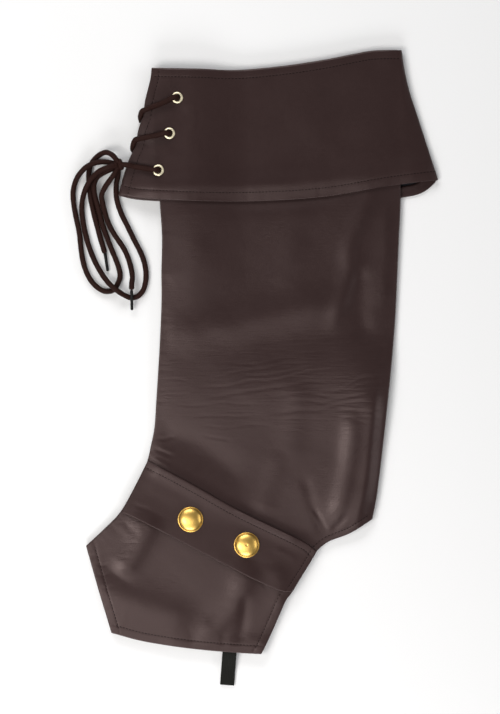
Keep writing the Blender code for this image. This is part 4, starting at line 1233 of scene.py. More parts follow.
def cuff_face(x, y):
    fold = distance(x, y, CUFF_FOLD)
    free_edge = distance(x, y, CUFF_FREE_EDGE)
    height = cuff_outer_top(x, y)
    free = away(fold, FOLD_FADE) * ease(free_edge / 6.0)
    height = height + free * worn(x, y, CUFF_CREASES, 0.01)
    height = height - FREE_EDGE_DROP * (1 - ease(free_edge / 16.0))
    height = height + hem_shape(x, y, CUFF_HEM, CUFF_STITCH, 0.2, 0.1)
    height = height + pucker(x, y, CUFF_HEM, 21, 0.1, 9.0, 13.0)
    height = height + hem_shape(x, y, CUFF_TOP, CUFF_TOP_WIDTH, 0.1, 0.12)
    height = height + pucker(x, y, CUFF_TOP, 22, 0.05, 8.0)
    return height + hem_shape(x, y, CUFF_FREE_EDGE, CUFF_EDGE_WIDTH, 0.15, 0.15)


def cuff_inner_face(x, y):
    fold = distance(x, y, CUFF_FOLD)
    free = away(fold, FOLD_FADE)
    uneven = CUFF_INNER_WAVE * np.clip(inner_waves(x, y), 0, None) + creased(x, y, INNER_CREASES)
    grooves = (lower_groove(x, y, CUFF_HEM_INNER, CUFF_STITCH) + lower_groove(x, y, CUFF_TOP, CUFF_TOP_WIDTH)
               + lower_groove(x, y, CUFF_FREE_EDGE_INNER, CUFF_EDGE_WIDTH))
    height = lift(x, y) + free * (uneven + grooves)
    drop = FREE_EDGE_DROP * (1 - ease(distance(x, y, CUFF_FREE_EDGE_INNER) / 12.0))
    return np.maximum(height - drop, ON_TABLE)


def clear_of_eyelets(x, y):
    return np.min([np.hypot(x - ex, y - ey) for ex, ey in EYELETS], axis=0) > EYELET_CUT


def fuller_in_the_middle(share):
    """The curl over the rim is small at the ends, where the two sides of the shaft close together."""
    width = length_of(CUFF_TOP)
    return 1 + CUFF_TOP_FULLER * ease(np.minimum(share, 1 - share) * width / CUFF_TOP_ENDS)


fold_in = read(CUFF_FOLD, np.linspace(0, 1, FOLD_POINTS))
fold_out = -left_of(unit(np.gradient(fold_in, axis=0)))
fold_in = fold_in - FOLD_RADIUS * fold_out


def cuff_sides(hem, free_edge):
    low = hem.copy()
    low[-1] = fold_in[0]
    high = CUFF_TOP.copy()
    high[-1] = fold_in[-1]
    top_run = Run(high, "hem", 1.0, CUFF_TOP_WIDTH)
    top_run.scale = fuller_in_the_middle
    low_run = Run(low, "hem", 1.0, CUFF_TURN)
    return [low_run], [top_run], [Run(free_edge, "hem", 1.0, CUFF_EDGE_TURN)], [Run(fold_in)]


cuff_us = stretch_rows([(9, 0.75), (46, 1.3), (190, 1.9), (8, 1.0)])
cuff_vs = stretch_rows([(10, 0.75), (90, 1.7), (10, 0.75)])
cuff_outer = panel("cuff_cloth", *cuff_sides(CUFF_HEM, CUFF_FREE_EDGE), cuff_face, cuff_us, cuff_vs,
                   keep=clear_of_eyelets)
cuff_inner = panel("cuff_inner_cloth", *cuff_sides(CUFF_HEM_INNER, CUFF_FREE_EDGE_INNER), cuff_inner_face,
                   cuff_us, cuff_vs, up=-1, keep=clear_of_eyelets)

# %% [markdown]
# The fold at the back is a row of half rounds. Each joins a point of the outer side's rear column to the
# same point of the inner side's, so the three parts become one cloth when their shared points are merged.

# %% The cuff's fold
FOLD_STEPS = 10
columns_outer, columns_inner = rear_columns["cuff_cloth"], rear_columns["cuff_inner_cloth"]
grid = []
for (top_point, depth), (low_point, _) in zip(columns_outer, columns_inner):
    where = np.clip((top_point[1] - fold_in[0, 1]) / (fold_in[-1, 1] - fold_in[0, 1]), 0, 1)
    bulge = np.append([np.interp(where, np.linspace(0, 1, FOLD_POINTS), fold_out[:, k]) for k in (0, 1)], 0.0)
    middle, half = (top_point + low_point) / 2, (top_point - low_point) / 2
    turn = np.linspace(0, np.pi, FOLD_STEPS + 1)[:, None]
    reach = max(FOLD_RADIUS + FOLD_FULL - depth, 0.05)
    grid.append(middle + half * np.cos(turn) + bulge * reach * np.sin(turn))
grid = np.array(grid)
index = np.arange(grid.shape[0] * grid.shape[1]).reshape(grid.shape[:2])
strips = [quads(index[i], index[i + 1], False) for i in range(len(index) - 1)]
cuff_fold = mesh_from("cuff_fold_cloth", grid.reshape(-1, 3), np.vstack(strips))


def joined(pieces, merge=0.004):
    """The pieces as one object, their touching points merged."""
    work = bmesh.new()
    for piece in pieces:
        work.from_mesh(piece.data)
    bmesh.ops.remove_doubles(work, verts=work.verts, dist=merge * MM)
    work.to_mesh(pieces[0].data)
    work.free()
    for piece in pieces[1:]:
        bpy.data.objects.remove(piece, do_unlink=True)
    return pieces[0]


cuff = joined([cuff_outer, cuff_inner, cuff_fold])
cuff.data.shade_smooth()
wall(cuff)
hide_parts("cuff_outer", "cuff_inner")
print("cuff faces:", len(cuff.data.polygons), " size, mm:", [round(d / MM, 1) for d in cuff.dimensions])

# %% [markdown]
# ## Eyelets, buttons and the elastic
#
# The eyelets are thin pressed rings: a rolled flange on the face and a barrel through the cloth. The
# buttons are hollow stampings, polished, with a narrow rolled rim. Both are turned shapes, set on the
# cloth with its tilt. The elastic is a woven tape with lengthwise ribs, doubled into a short loop.

# %% Eyelets and buttons
def surface_frame(height, x, y, reach):
    """Where a round piece sits: its centre height and its tilt, from the surface round it."""
    rise_x = (height(x + reach, y) - height(x - reach, y)) / (2 * reach)
    rise_y = (height(x, y + reach) - height(x, y - reach)) / (2 * reach)
    turn = 2 * np.pi * np.arange(16) / 16
    dx, dy = reach * np.cos(turn), reach * np.sin(turn)
    top = np.max(height(x + dx, y + dy) - rise_x * dx - rise_y * dy)
    return max(float(top), float(height(x, y))), Vector((-rise_x, -rise_y, 1.0)).normalized()


EYELET_RADIUS, EYELET_BORE = 5.2, 2.75
eyelet_shape = [
    (EYELET_BORE, -1.7), (EYELET_BORE, 0.0), (EYELET_BORE + 0.08, 0.3), (3.05, 0.58), (3.4, 0.78),
    (3.85, 0.84), (4.3, 0.76), (4.75, 0.55), (5.05, 0.3), (EYELET_RADIUS, 0.08), (5.16, -0.06), (4.9, -0.16),
]
for number, (x, y) in enumerate(EYELETS, 1):
    z, normal = surface_frame(cuff_outer_top, x, y, EYELET_RADIUS)
    ring = stand(lathe(f"eyelet_outer_ring_{number}", eyelet_shape, 48), (x, y, z + GAP), normal)
    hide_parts(f"eyelet_outer_{number}")
    z, normal = surface_frame(lift, x, y, EYELET_RADIUS)
    ring = stand(lathe(f"eyelet_inner_ring_{number}", eyelet_shape, 48), (x, y, z - GAP), -normal)
    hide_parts(f"eyelet_inner_{number}")
eyelets = [o for o in bpy.data.objects if o.name.startswith(("eyelet_outer_ring", "eyelet_inner_ring"))]

BUTTON_RADIUS, BUTTON_HEIGHT, BUTTON_RIM = 11.4, 6.4, 1.1
DOME_RADIUS, DOME_FOOT = 10.75, 0.25


def button_shape(dimple):
    """A dome from its middle to its rolled rim; the dimple is a small press mark in the middle."""
    rows = []
    for r in np.concatenate([[0.001, 0.35, 0.7, 1.1, 1.6], np.linspace(2.4, 10.2, 14)]):
        arch = math.sqrt(max(0.0, 1 - (r / DOME_RADIUS) ** 2))
        h = BUTTON_RIM + DOME_FOOT + (BUTTON_HEIGHT - BUTTON_RIM - DOME_FOOT) * arch
        rows.append((r, h - dimple * math.exp(-(r / 0.7) ** 2)))
    rim = [(10.5, 2.0), (10.62, 1.62), (10.72, 1.4), (10.85, 1.36), (11.05, 1.38), (11.25, 1.26),
           (11.38, 1.0), (11.4, 0.7), (11.3, 0.35), (11.05, 0.1), (10.6, 0.0)]
    return rows + rim


buttons = []
for (name, x, y), dimple in zip(BUTTONS, (0.0, 0.45)):
    z, normal = surface_frame(band_top, x, y, BUTTON_RADIUS - 1.0)
    dome = stand(lathe(name + "_dome", button_shape(dimple), 96), (x, y, z + GAP), normal)
    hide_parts(name)
    buttons.append(dome)
print("turned pieces:", len(eyelets) + len(buttons))

# %% The ribbed elastic
ELASTIC_WIDTH, ELASTIC_THICK = 12.7, 0.9
ELASTIC_RIBS, RIB_HEIGHT = 9, 0.13
WEAVE_DEPTH, WEAVE_PITCH = 0.025, 1.3
STIRRUP_TOP = (-31.2, -256.6)
STIRRUP_DROP, STIRRUP_TILT, STIRRUP_INSIDE = 29.5, math.radians(4.3), 9.0
STIRRUP_REST, STIRRUP_FOLD = 0.1, 0.35


def stirrup_path():
    """The elastic's path: y from the sole's edge, and z, from the upper run round to the lower."""
    half = ELASTIC_THICK / 2
    high = float(outer_under(STIRRUP_TOP[0], STIRRUP_TOP[1] + 2.0)) - GAP - half
    low = PLY + half
    rest, bend, end = half + STIRRUP_REST, half + STIRRUP_FOLD, -STIRRUP_DROP
    upper = [(STIRRUP_INSIDE, high), (2.0, high), (-3.0, high - 0.2), (-8.0, high - 1.0),
             (-16.0, rest + 2 * bend + 0.2), (end + bend * 2, rest + 2 * bend)]
    fold = [(end + bend, rest + 2 * bend - 0.2), (end + half, rest + bend), (end + bend, rest + 0.2)]
    lower = [(end + bend * 2, rest), (-8.0, rest), (-3.0, low - 0.4), (0.0, low), (STIRRUP_INSIDE, low)]
    return upper + fold + lower


path = smooth(stirrup_path(), 8)
count = round(length_of(path) / 0.55) + 1
path = read(path, np.linspace(0, 1, count))
far = np.linspace(0, length_of(path), count)
square = left_of(unit(np.gradient(path, axis=0)))
across = np.linspace(-1, 1, 64)
rib = RIB_HEIGHT * (np.abs(np.sin(np.pi * ELASTIC_RIBS * (across + 1) / 2)) ** 0.6 - 0.8)
weave = WEAVE_DEPTH * np.sin(2 * np.pi * far / WEAVE_PITCH)
edge_thin = np.sqrt(np.clip(1 - np.abs(across) ** 24, 0, 1))
section = [(w, s * (ELASTIC_THICK / 2 + r) * e) for s, order in ((-1, 1), (1, -1))
           for w, r, e in zip(across[::order], rib[::order], edge_thin[::order])]
section = np.array(section)
width = ELASTIC_WIDTH / 2 * (1 + 0.012 * np.sin(far * 0.7))
cos_tilt, sin_tilt = math.cos(STIRRUP_TILT), math.sin(STIRRUP_TILT)
w = section[None, :, 0] * width[:, None]
d = section[None, :, 1] * (1 + weave[:, None] * 2)
along_y = path[:, None, 0] + square[:, None, 0] * d
z = path[:, None, 1] + square[:, None, 1] * d
x = STIRRUP_TOP[0] + w * cos_tilt + along_y * sin_tilt
y = STIRRUP_TOP[1] + along_y * cos_tilt - w * sin_tilt
points = np.stack([x, y, z], -1).reshape(-1, 3)
faces, k, after, r = ring_faces(len(section), count)
u = np.stack([section[k, 0], section[after, 0], section[after, 0], section[k, 0]], 1)
v = np.stack([far[r], far[r], far[r + 1], far[r + 1]], 1) / 10
elastic = mesh_from("stirrup_elastic_tape", points, faces, np.stack([u, v], -1))
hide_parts("stirrup_elastic")
print("elastic length, mm:", round(length_of(path)))

# %% [markdown]
# ## Stitches
#
# The hems are closed with one row of machine stitches in thread of the cloth's colour. A stitch is about
# 2.3 mm of thread that dips into the cloth at both ends. All stitches of a panel are one mesh.

# %% Rows of stitches
STITCH_STEP, STITCH_LENGTH, STITCH_RADIUS = 3.0, 2.3, 0.3
STITCH_SIDES = 6
STITCH_RINGS = [(-1.0, -0.5, 0.75), (-0.78, -0.12, 0.95), (-0.35, 0.04, 1.0), (0.35, 0.04, 1.0),
                (0.78, -0.12, 0.95), (1.0, -0.5, 0.75)]


def stitches(name, lines, face, up=1):
    """Stitches along edges: each row is an edge, how far inside it, and whether the cloth is on its left."""
    middles, aheads = [], []
    for line, inside, cloth_left in lines:
        count = int((length_of(line) - 3) / STITCH_STEP)
        shares = (2 + STITCH_STEP * (np.arange(count) + 0.5)) / length_of(line)
        ahead = heading(line, shares)
        inward = left_of(ahead) * (1 if cloth_left else -1)
        middles.append(read(line, shares) + inside * inward)
        aheads.append(ahead)
    middle, ahead = np.vstack(middles), np.vstack(aheads)
    side = left_of(ahead)
    turn = 2 * np.pi * np.arange(STITCH_SIDES) / STITCH_SIDES
    points = []
    for s, rise, thick in STITCH_RINGS:
        xy = middle + ahead * s * STITCH_LENGTH / 2
        z = face(xy[:, 0], xy[:, 1]) + up * rise
        ring = np.repeat(np.column_stack([xy, z])[:, None], STITCH_SIDES, axis=1)
        ring[..., :2] += side[:, None] * (np.cos(turn) * STITCH_RADIUS * thick)[None, :, None]
        ring[..., 2] += up * np.sin(turn) * STITCH_RADIUS * thick
        points.append(ring)
    points = np.stack(points, axis=1)
    n, rings = STITCH_SIDES, len(STITCH_RINGS)
    first = (np.arange(len(middle)) * rings * n)[:, None, None] + (np.arange(rings - 1) * n)[None, :, None]
    k = np.arange(n)[None, None, :]
    a, b = first + k, first + (k + 1) % n
    quad = [a, b, b + n, a + n] if up < 0 else [a, a + n, b + n, b]
    made = mesh_from(name, points.reshape(-1, 3), np.stack(quad, -1).reshape(-1, 4))
    stitch_rows.append(made)
    return made


stitch_rows = []
stitches("cuff_stitches", [(CUFF_HEM, CUFF_STITCH, True), (CUFF_TOP, CUFF_TOP_WIDTH, False),
                               (CUFF_FREE_EDGE, CUFF_EDGE_WIDTH, False)], cuff_face)
stitches("cuff_inner_stitches", [(CUFF_HEM_INNER, CUFF_STITCH, True), (CUFF_TOP, CUFF_TOP_WIDTH, False),
                                     (CUFF_FREE_EDGE_INNER, CUFF_EDGE_WIDTH, False)], cuff_inner_face, -1)
foot_lines = [(line, width, True) for line, width in FOOT_HEMS]
stitches("foot_stitches", foot_lines, foot_face)
stitches("foot_inner_stitches", foot_lines, foot_inner_face, -1)
heel_line = [(HEEL_HEM, HEEL_HEM_WIDTH, True)]
stitches("heel_stitches", heel_line, shaft_face)
stitches("heel_inner_stitches", heel_line, shaft_inner_face, -1)
band_lines = [(BAND_TOP, BAND_STITCH, False), (BAND_REAR, BAND_REAR_STITCH, True)]
stitches("band_stitches", band_lines, band_face)
stitch_points = STITCH_SIDES * len(STITCH_RINGS)
print("stitches:", sum(len(o.data.vertices) for o in stitch_rows) // stitch_points)

# %% [markdown]
# ## Building materials
#
# The cover has few materials, but they share effects: a pebbled grain pressed into the coating, fine
# wrinkles, slow changes of tone, and the twist of yarn. Each shared effect is a node group with named
# inputs and outputs, so that every material that uses it says only how strong and how large it is.

# %% Node helpers
def put(tree, kind, settings=None, **inputs):
    """Adds a shader node; inputs are values or other nodes' outputs, with _ for a space in the name."""
    made = tree.nodes.new("ShaderNode" + kind)
    for key, value in (settings or {}).items():
        setattr(made, key, value)
    for key, value in inputs.items():
        plug(tree, made.inputs[key.replace("_", " ")], value)
    return made


def plug(tree, socket, value):
    if isinstance(value, bpy.types.NodeSocket):
        tree.links.new(value, socket)
    else:
        socket.default_value = value


def calc(tree, operation, a, b=0.0, c=0.0):
    """One step of arithmetic on values."""
    made = tree.nodes.new("ShaderNodeMath")
    made.operation = operation
    for socket, value in zip(made.inputs, (a, b, c)):
        plug(tree, socket, value)
    return made.outputs[0]


def remap(tree, value, low, high, to_low=0.0, to_high=1.0):
    made = put(tree, "MapRange", {"interpolation_type": "SMOOTHSTEP"}, Value=value, From_Min=low,
               From_Max=high, To_Min=to_low, To_Max=to_high)
    return made.outputs["Result"]


def blend_colour(tree, share, first, second, mode="MIX"):
    """A mix of two colours; of a Mix node's sockets, 6, 7 and output 2 are the ones for colours."""
    made = tree.nodes.new("ShaderNodeMix")
    made.data_type = "RGBA"
    made.blend_type = mode
    plug(tree, made.inputs[0], share)
    plug(tree, made.inputs[6], first)
    plug(tree, made.inputs[7], second)
    return made.outputs[2]


def effect(name, inputs, outputs):
    """A node group with named inputs (name, kind, value) and outputs (name, kind)."""
    tree = bpy.data.node_groups.new(name, "ShaderNodeTree")
    for label, kind, value in inputs:
        socket = tree.interface.new_socket(label, in_out="INPUT", socket_type="NodeSocket" + kind)
        socket.default_value = value
    for label, kind in outputs:
        tree.interface.new_socket(label, in_out="OUTPUT", socket_type="NodeSocket" + kind)
    return tree, tree.nodes.new("NodeGroupInput").outputs, tree.nodes.new("NodeGroupOutput").inputs


def use(tree, group, **inputs):
    made = tree.nodes.new("ShaderNodeGroup")
    made.node_tree = group
    for key, value in inputs.items():
        plug(tree, made.inputs[key.replace("_", " ")], value)
    return made.outputs


def noise(tree, place, scale, detail=2.0, roughness=0.5, distortion=0.0):
    made = put(tree, "TexNoise", None, Vector=place, Scale=scale, Detail=detail, Roughness=roughness,
               Distortion=distortion)
    return made.outputs[0]


def vector_calc(tree, operation, a, b):
    """A place moved by a vector (ADD) or made larger by a number (SCALE)."""
    made = put(tree, "VectorMath", {"operation": operation})
    plug(tree, made.inputs[0], a)
    plug(tree, made.inputs["Scale" if operation == "SCALE" else 1], b)
    return made.outputs[0]


def dimmed(tree, colour, gain):
    """A colour times a grey value."""
    grey = put(tree, "CombineColor", None, Red=gain, Green=gain, Blue=gain).outputs[0]
    return blend_colour(tree, 1.0, colour, grey, "MULTIPLY")


def bumped(tree, shader, height, strength, depth):
    """Presses a height into a shader's normal; the depth is in mm."""
    bump = put(tree, "Bump", None, Height=height, Strength=strength, Distance=depth * MM)
    plug(tree, shader.inputs["Normal"], bump.outputs[0])


def place_of(tree, kind="Object"):
    return tree.nodes.new("ShaderNodeTexCoord").outputs[kind]


def stretched(tree, place, scale, turn=0.0):
    """A place scaled differently along its directions, after a turn about Z."""
    made = put(tree, "Mapping", None, Vector=place, Rotation=(0.0, 0.0, turn), Scale=scale)
    return made.outputs[0]


# %% Shared effects
# pebbled grain: cells of about a millimetre with shallow valleys between them, and finer pores
grain, took, gives = effect("pebble grain", [("Place", "Vector", (0, 0, 0)), ("Cells", "Float", 900.0)],
                            [("Height", "Float"), ("Valleys", "Float")])
wobble = noise(grain, took["Place"], 240.0, 2.0)
cloud = put(grain, "TexNoise", None, Vector=took["Place"], Scale=420.0, Detail=1.0)
moved = vector_calc(grain, "ADD", took["Place"], vector_calc(grain, "SCALE", cloud.outputs["Color"], 0.0009))
cells = put(grain, "TexVoronoi", {"feature": "DISTANCE_TO_EDGE"}, Vector=moved, Scale=took["Cells"])
valley = remap(grain, cells.outputs["Distance"], 0.0, 0.22)
pores = noise(grain, took["Place"], 2600.0, 1.0)
pebbles = calc(grain, "MULTIPLY", valley, calc(grain, "ADD", wobble, 0.3))
plug(grain, gives["Height"], calc(grain, "MULTIPLY_ADD", pores, 0.25, pebbles))
# the valley mask, which the leather uses to paint shade into the grain
plug(grain, gives["Valleys"], calc(grain, "SUBTRACT", 1.0, valley))

# fine wrinkles: thin wavy lines, longest across the leg, only in patches; each row is a turn, how closely
# the lines are spaced along and across it, and a step that keeps the three sets apart
WRINKLE_SETS = [(0.12, 26.0, 210.0, 0.0), (-0.25, 34.0, 300.0, 5.0), (0.5, 40.0, 260.0, 9.0)]
wrinkles, took, gives = effect("fine wrinkles", [("Place", "Vector", (0, 0, 0)), ("Size", "Float", 1.0)],
                               [("Height", "Float"), ("Patches", "Float"), ("Ripples", "Float")])
place = vector_calc(wrinkles, "SCALE", took["Place"], took["Size"])
height = 0.0
for turn, along, across, step in WRINKLE_SETS:
    shifted = vector_calc(wrinkles, "ADD", place, (step, step, step))
    drawn_out = stretched(wrinkles, shifted, (along, across, along), turn)
    lines = noise(wrinkles, drawn_out, 1.0, 2.0, 0.5, 0.3)
    ridge = calc(wrinkles, "ABSOLUTE", calc(wrinkles, "SUBTRACT", lines, 0.5))
    height = calc(wrinkles, "ADD", height, remap(wrinkles, ridge, 0.0, 0.05))
patches = remap(wrinkles, noise(wrinkles, place, 22.0, 2.0), 0.42, 0.62)
plug(wrinkles, gives["Height"], calc(wrinkles, "MULTIPLY", height, 0.333))
plug(wrinkles, gives["Patches"], patches)
drawn_out = stretched(wrinkles, place, (30.0, 360.0, 30.0), 0.06)
plug(wrinkles, gives["Ripples"], noise(wrinkles, drawn_out, 1.0, 1.0, 0.5, 0.5))

# slow changes of tone, as the coating takes light and handling
mottle, took, gives = effect("mottle", [("Place", "Vector", (0, 0, 0)), ("Colour", "Color", (1, 1, 1, 1)),
                                        ("Strength", "Float", 0.15), ("Size", "Float", 30.0)],
                             [("Colour", "Color"), ("Tone", "Float")])
wide = noise(mottle, took["Place"], took["Size"], 4.0, 0.6)
small = noise(mottle, took["Place"], calc(mottle, "MULTIPLY", took["Size"], 9.0), 3.0)
tone = calc(mottle, "ADD", calc(mottle, "MULTIPLY", wide, 0.7), calc(mottle, "MULTIPLY", small, 0.3))
share = calc(mottle, "MULTIPLY", calc(mottle, "SUBTRACT", tone, 0.5), took["Strength"])
gain = calc(mottle, "MULTIPLY_ADD", share, 2.0, 1.0)
plug(mottle, gives["Colour"], dimmed(mottle, took["Colour"], gain))
plug(mottle, gives["Tone"], tone)

# yarn: parallel fibres slanting across a place, as in thread, lace and tape
yarn, took, gives = effect("yarn twist", [("Place", "Vector", (0, 0, 0)), ("Pitch", "Float", 600.0),
                                          ("Slant", "Float", 0.7)],
                           [("Height", "Float"), ("Fuzz", "Float")])
parts = put(yarn, "SeparateXYZ", None, Vector=took["Place"]).outputs
slanted = calc(yarn, "MULTIPLY", calc(yarn, "ADD", parts["X"], parts["Z"]), took["Slant"])
line = calc(yarn, "ADD", parts["Y"], slanted)
wave = calc(yarn, "SINE", calc(yarn, "MULTIPLY", line, calc(yarn, "MULTIPLY", took["Pitch"], 6.2832)))
fuzz = noise(yarn, took["Place"], calc(yarn, "MULTIPLY", took["Pitch"], 1.5), 3.0, 0.7)
plug(yarn, gives["Height"], calc(yarn, "MULTIPLY_ADD", wave, 0.5, fuzz))
plug(yarn, gives["Fuzz"], fuzz)

print("shared effects:", [g.name for g in bpy.data.node_groups])

# %% [markdown]
# ## The materials
#
# The cloth is a polyurethane film on a knitted backing: dark brown, smooth, with a dull gloss that only
# shows where the surface slopes towards a light. The valleys of its grain are painted a little darker, as
# painted shade, and its tone drifts slowly from place to place. The backing is a fine near-black knit. The
# buttons are plated like gold and the eyelets are a paler brass, duller than the buttons.

# %% Coated cloth and its backing
def new_material(name):
    made = bpy.data.materials.new(name)
    made.use_nodes = True
    tree = made.node_tree
    shader = tree.nodes["Principled BSDF"]
    return made, tree, shader


ANKLE_DEPTH = 0.22


def leather(name, colour, grain_depth, wrinkle_depth, roughness, gloss=0.5):
    made, tree, shader = new_material(name)
    place = place_of(tree)
    toned = use(tree, mottle, Place=place, Colour=(*colour, 1.0), Strength=0.16, Size=26.0)
    pebble = use(tree, grain, Place=place, Cells=880.0)
    thin = use(tree, wrinkles, Place=place, Size=1.0)
    # painted shade: the grain's valleys are mixed up to a quarter of the way towards a darker brown
    valley_shade = calc(tree, "MULTIPLY", pebble["Valleys"], 0.25)
    plug(tree, shader.inputs["Base Color"],
         blend_colour(tree, valley_shade, toned["Colour"], tuple(c * 0.6 for c in colour) + (1.0,)))
    rough = calc(tree, "MULTIPLY_ADD", toned["Tone"], 0.16, roughness - 0.08)
    plug(tree, shader.inputs["Roughness"], rough)
    shader.inputs["Specular IOR Level"].default_value = gloss
    shader.inputs["Specular Tint"].default_value = (1.0, 0.8, 0.78, 1.0)
    creased_height = calc(tree, "MULTIPLY", thin["Height"], thin["Patches"])
    spot = put(tree, "SeparateXYZ", None, Vector=place).outputs
    ankle = calc(tree, "MULTIPLY", remap(tree, spot["Y"], -0.075, -0.035), remap(tree, spot["Y"], 0.05, 0.01))
    ankle = calc(tree, "MULTIPLY", ankle, remap(tree, spot["X"], -0.08, 0.09, ANKLE_DEPTH * 0.4, ANKLE_DEPTH))
    lines = calc(tree, "MULTIPLY", creased_height, wrinkle_depth)
    both = calc(tree, "ADD", lines, calc(tree, "MULTIPLY", thin["Ripples"], ankle))
    first = put(tree, "Bump", None, Height=both, Strength=1.0, Distance=MM)
    second = put(tree, "Bump", None, Height=pebble["Height"], Strength=1.0, Distance=grain_depth * MM,
                 Normal=first.outputs[0])
    plug(tree, shader.inputs["Normal"], second.outputs[0])
    return made


BROWN = (0.0300, 0.0162, 0.0155)
body_leather = leather("coated cloth", BROWN, 0.018, 0.05, 0.35)
cuff_leather = leather("coated cloth of the cuff", BROWN, 0.018, 0.03, 0.36, 0.4)
band_leather = leather("coated cloth of the band", BROWN, 0.018, 0.025, 0.38, 0.36)

backing, tree, shader = new_material("knitted backing")
place = place_of(tree)
loops = use(tree, yarn, Place=place, Pitch=900.0, Slant=0.9)
toned = use(tree, mottle, Place=place, Colour=(0.012, 0.0125, 0.016, 1.0), Strength=0.3, Size=60.0)
plug(tree, shader.inputs["Base Color"], toned["Colour"])
shader.inputs["Roughness"].default_value = 0.85
shader.inputs["Specular IOR Level"].default_value = 0.25
bumped(tree, shader, loops["Height"], 0.8, 0.06)


# %% Yarns: lace, sewing thread and elastic
def yarn_material(name, colour, pitch, slant, depth, roughness, kind="Object"):
    made, tree, shader = new_material(name)
    place = place_of(tree, kind)
    twist = use(tree, yarn, Place=place, Pitch=pitch, Slant=slant)
    toned = use(tree, mottle, Place=place_of(tree), Colour=(*colour, 1.0), Strength=0.3, Size=90.0)
    # the colour follows the fuzz that also raises the bump: lighter where it stands higher, darker where it
    # is low
    fuzz_tone = remap(tree, twist["Fuzz"], 0.35, 0.75, 0.7, 1.25)
    plug(tree, shader.inputs["Base Color"], dimmed(tree, toned["Colour"], fuzz_tone))
    shader.inputs["Roughness"].default_value = roughness
    shader.inputs["Specular IOR Level"].default_value = 0.14
    bumped(tree, shader, twist["Height"], 0.7, depth)
    return made


lace_yarn = yarn_material("braided lace", (0.0225, 0.0066, 0.0044), 14.0, 0.9, 0.09, 0.7, "UV")
thread = yarn_material("sewing thread", (0.010, 0.0052, 0.0045), 2400.0, 0.8, 0.03, 0.75)
webbing = yarn_material("elastic webbing", (0.0105, 0.0105, 0.009), 9.0, 0.0, 0.07, 0.75, "UV")


# %% Metal and plastic
def metal(name, colour, roughness, scratch):
    made, tree, shader = new_material(name)
    place = place_of(tree)
    toned = use(tree, mottle, Place=place, Colour=(*colour, 1.0), Strength=0.08, Size=160.0)
    lines = noise(tree, stretched(tree, place, (300.0, 2600.0, 300.0), 0.6), 1.0, 3.0)
    others = noise(tree, stretched(tree, place, (2400.0, 260.0, 300.0), -0.3), 1.0, 3.0)
    marks = calc(tree, "MAXIMUM", remap(tree, lines, 0.62, 0.72), remap(tree, others, 0.64, 0.74))
    plug(tree, shader.inputs["Base Color"], toned["Colour"])
    shader.inputs["Metallic"].default_value = 1.0
    plug(tree, shader.inputs["Roughness"], calc(tree, "MULTIPLY_ADD", marks, scratch, roughness))
    bumped(tree, shader, toned["Tone"], 0.25, 0.02)
    return made


gold = metal("gold-plated brass", (1.0, 0.64, 0.17), 0.38, 0.08)
pale_brass = metal("pale brass", (1.0, 0.9, 0.66), 0.5, 0.1)

plastic, tree, shader = new_material("aglet plastic")
toned = use(tree, mottle, Place=place_of(tree), Colour=(0.004, 0.0038, 0.0036, 1.0), Strength=0.3, Size=300.0)
plug(tree, shader.inputs["Base Color"], toned["Colour"])
shader.inputs["Specular IOR Level"].default_value = 0.2
plug(tree, shader.inputs["Roughness"], calc(tree, "MULTIPLY_ADD", toned["Tone"], 0.2, 0.4))
print("materials:", [m.name for m in bpy.data.materials])

# %% [markdown]
# ## Dressing the pieces
#
# Every piece gets its material and rides on the one body. A panel has two slots: the coated face, and
# behind it the knit that shows at cut edges and inside the openings.

# %% Materials on pieces
def dress(piece, *materials, slot=None):
    for material in materials:
        piece.data.materials.append(material)
    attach(piece, "root")


for piece in (shaft_outer, shaft_inner, foot_outer, foot_inner):
    dress(piece, body_leather, backing, slot="cover_leather")
dress(band, band_leather, backing, slot="cover_leather")
dress(cuff, cuff_leather, backing, slot="cuff_leather")
for piece in lace_pieces:
    dress(piece, lace_yarn)
for piece in tips.values():
    dress(piece, plastic)
for piece in eyelets:
    dress(piece, pale_brass)
for piece in buttons:
    dress(piece, gold)
for piece in stitch_rows:
    dress(piece, thread, slot="cuff_leather" if piece.name.startswith("cuff") else "cover_leather")
dress(elastic, webbing)
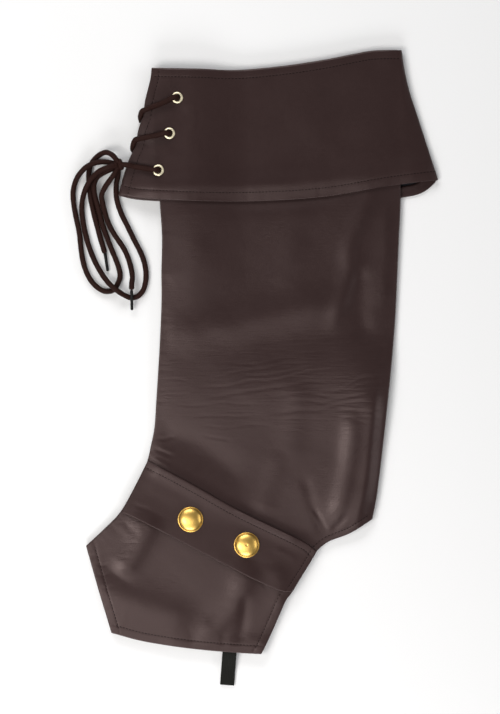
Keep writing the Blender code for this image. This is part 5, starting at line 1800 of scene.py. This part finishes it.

# %% [markdown]
# Each panel is a sheet with a flat size before it was sewn, hems and seam allowances included. The cuff
# is one long strip round both sides.

# %% [markdown]
# ## The floor and the light
#
# The picture was cut out on white, so the floor is a plain sheet, nearly white, and so wide that no low view
# meets its edge. There are five softboxes. Cloth with a dull gloss is drawn by where it looks: flat cloth
# looks straight up, where only one dim softbox hangs beyond the foot, so the shaft and the cuff stay dark and
# the flat parts of the foot take a soft gloss. The brighter ones stand low at the left, the right, the foot
# and the cuff, so that every fold is lit on the slope that turns to one of them. All are nearly white.

# %% Floor
FLOOR_HALF = 12.0
corners = [(x * FLOOR_HALF, y * FLOOR_HALF, 0.0) for x, y in ((-1, -1), (1, -1), (1, 1), (-1, 1))]
floor_mesh = bpy.data.meshes.new("floor")
floor_mesh.from_pydata(corners, [], [(0, 1, 2, 3)])
floor = bpy.data.objects.new("floor", floor_mesh)
bpy.context.scene.collection.objects.link(floor)
paper, tree, shader = new_material("floor paper")
fibre = noise(tree, place_of(tree), 900.0, 3.0)
pale, paler = (0.88, 0.88, 0.885, 1), (0.92, 0.92, 0.925, 1)
plug(tree, shader.inputs["Base Color"], blend_colour(tree, fibre, pale, paler))
shader.inputs["Roughness"].default_value = 0.95
shader.inputs["Specular IOR Level"].default_value = 0.1
floor_mesh.materials.append(paper)


# %% Softboxes
def softbox(name, spot, aim, size, power, colour=(1.0, 1.0, 1.0)):
    data = bpy.data.lights.new(name, "AREA")
    data.shape = "RECTANGLE"
    data.size, data.size_y = size
    data.energy = power
    data.color = colour
    made = bpy.data.objects.new(name, data)
    made.location = spot
    made.rotation_mode = "QUATERNION"
    made.rotation_quaternion = (Vector(aim) - Vector(spot)).to_track_quat("-Z", "Y")
    made.visible_camera = False
    bpy.context.scene.collection.objects.link(made)
    return made


WARM_WHITE = (1.0, 0.98, 0.95)
softbox("overhead light", (-0.22, -0.47, 1.35), (-0.05, -0.2, 0), (0.9, 0.8), 3.8, WARM_WHITE)
softbox("key light", (-0.85, -0.35, 1.1), (0, -0.05, 0), (0.7, 0.6), 9.0, WARM_WHITE)
softbox("light below", (-0.2, -1.3, 0.65), (0, 0, 0), (1.0, 0.5), 11.0)
softbox("light right", (1.35, 0.0, 0.8), (0, 0, 0), (1.0, 0.5), 4.0)
softbox("light above", (-0.4, 1.3, 0.8), (0, 0, 0), (1.2, 0.6), 13.0)
world = bpy.data.worlds.new("studio")
world.use_nodes = True
sky = world.node_tree.nodes["Background"]
sky.inputs["Color"].default_value = (0.95, 0.97, 1.0, 1.0)
sky.inputs["Strength"].default_value = 0.1
bpy.context.scene.world = world
bpy.context.scene.view_settings.view_transform = "Standard"
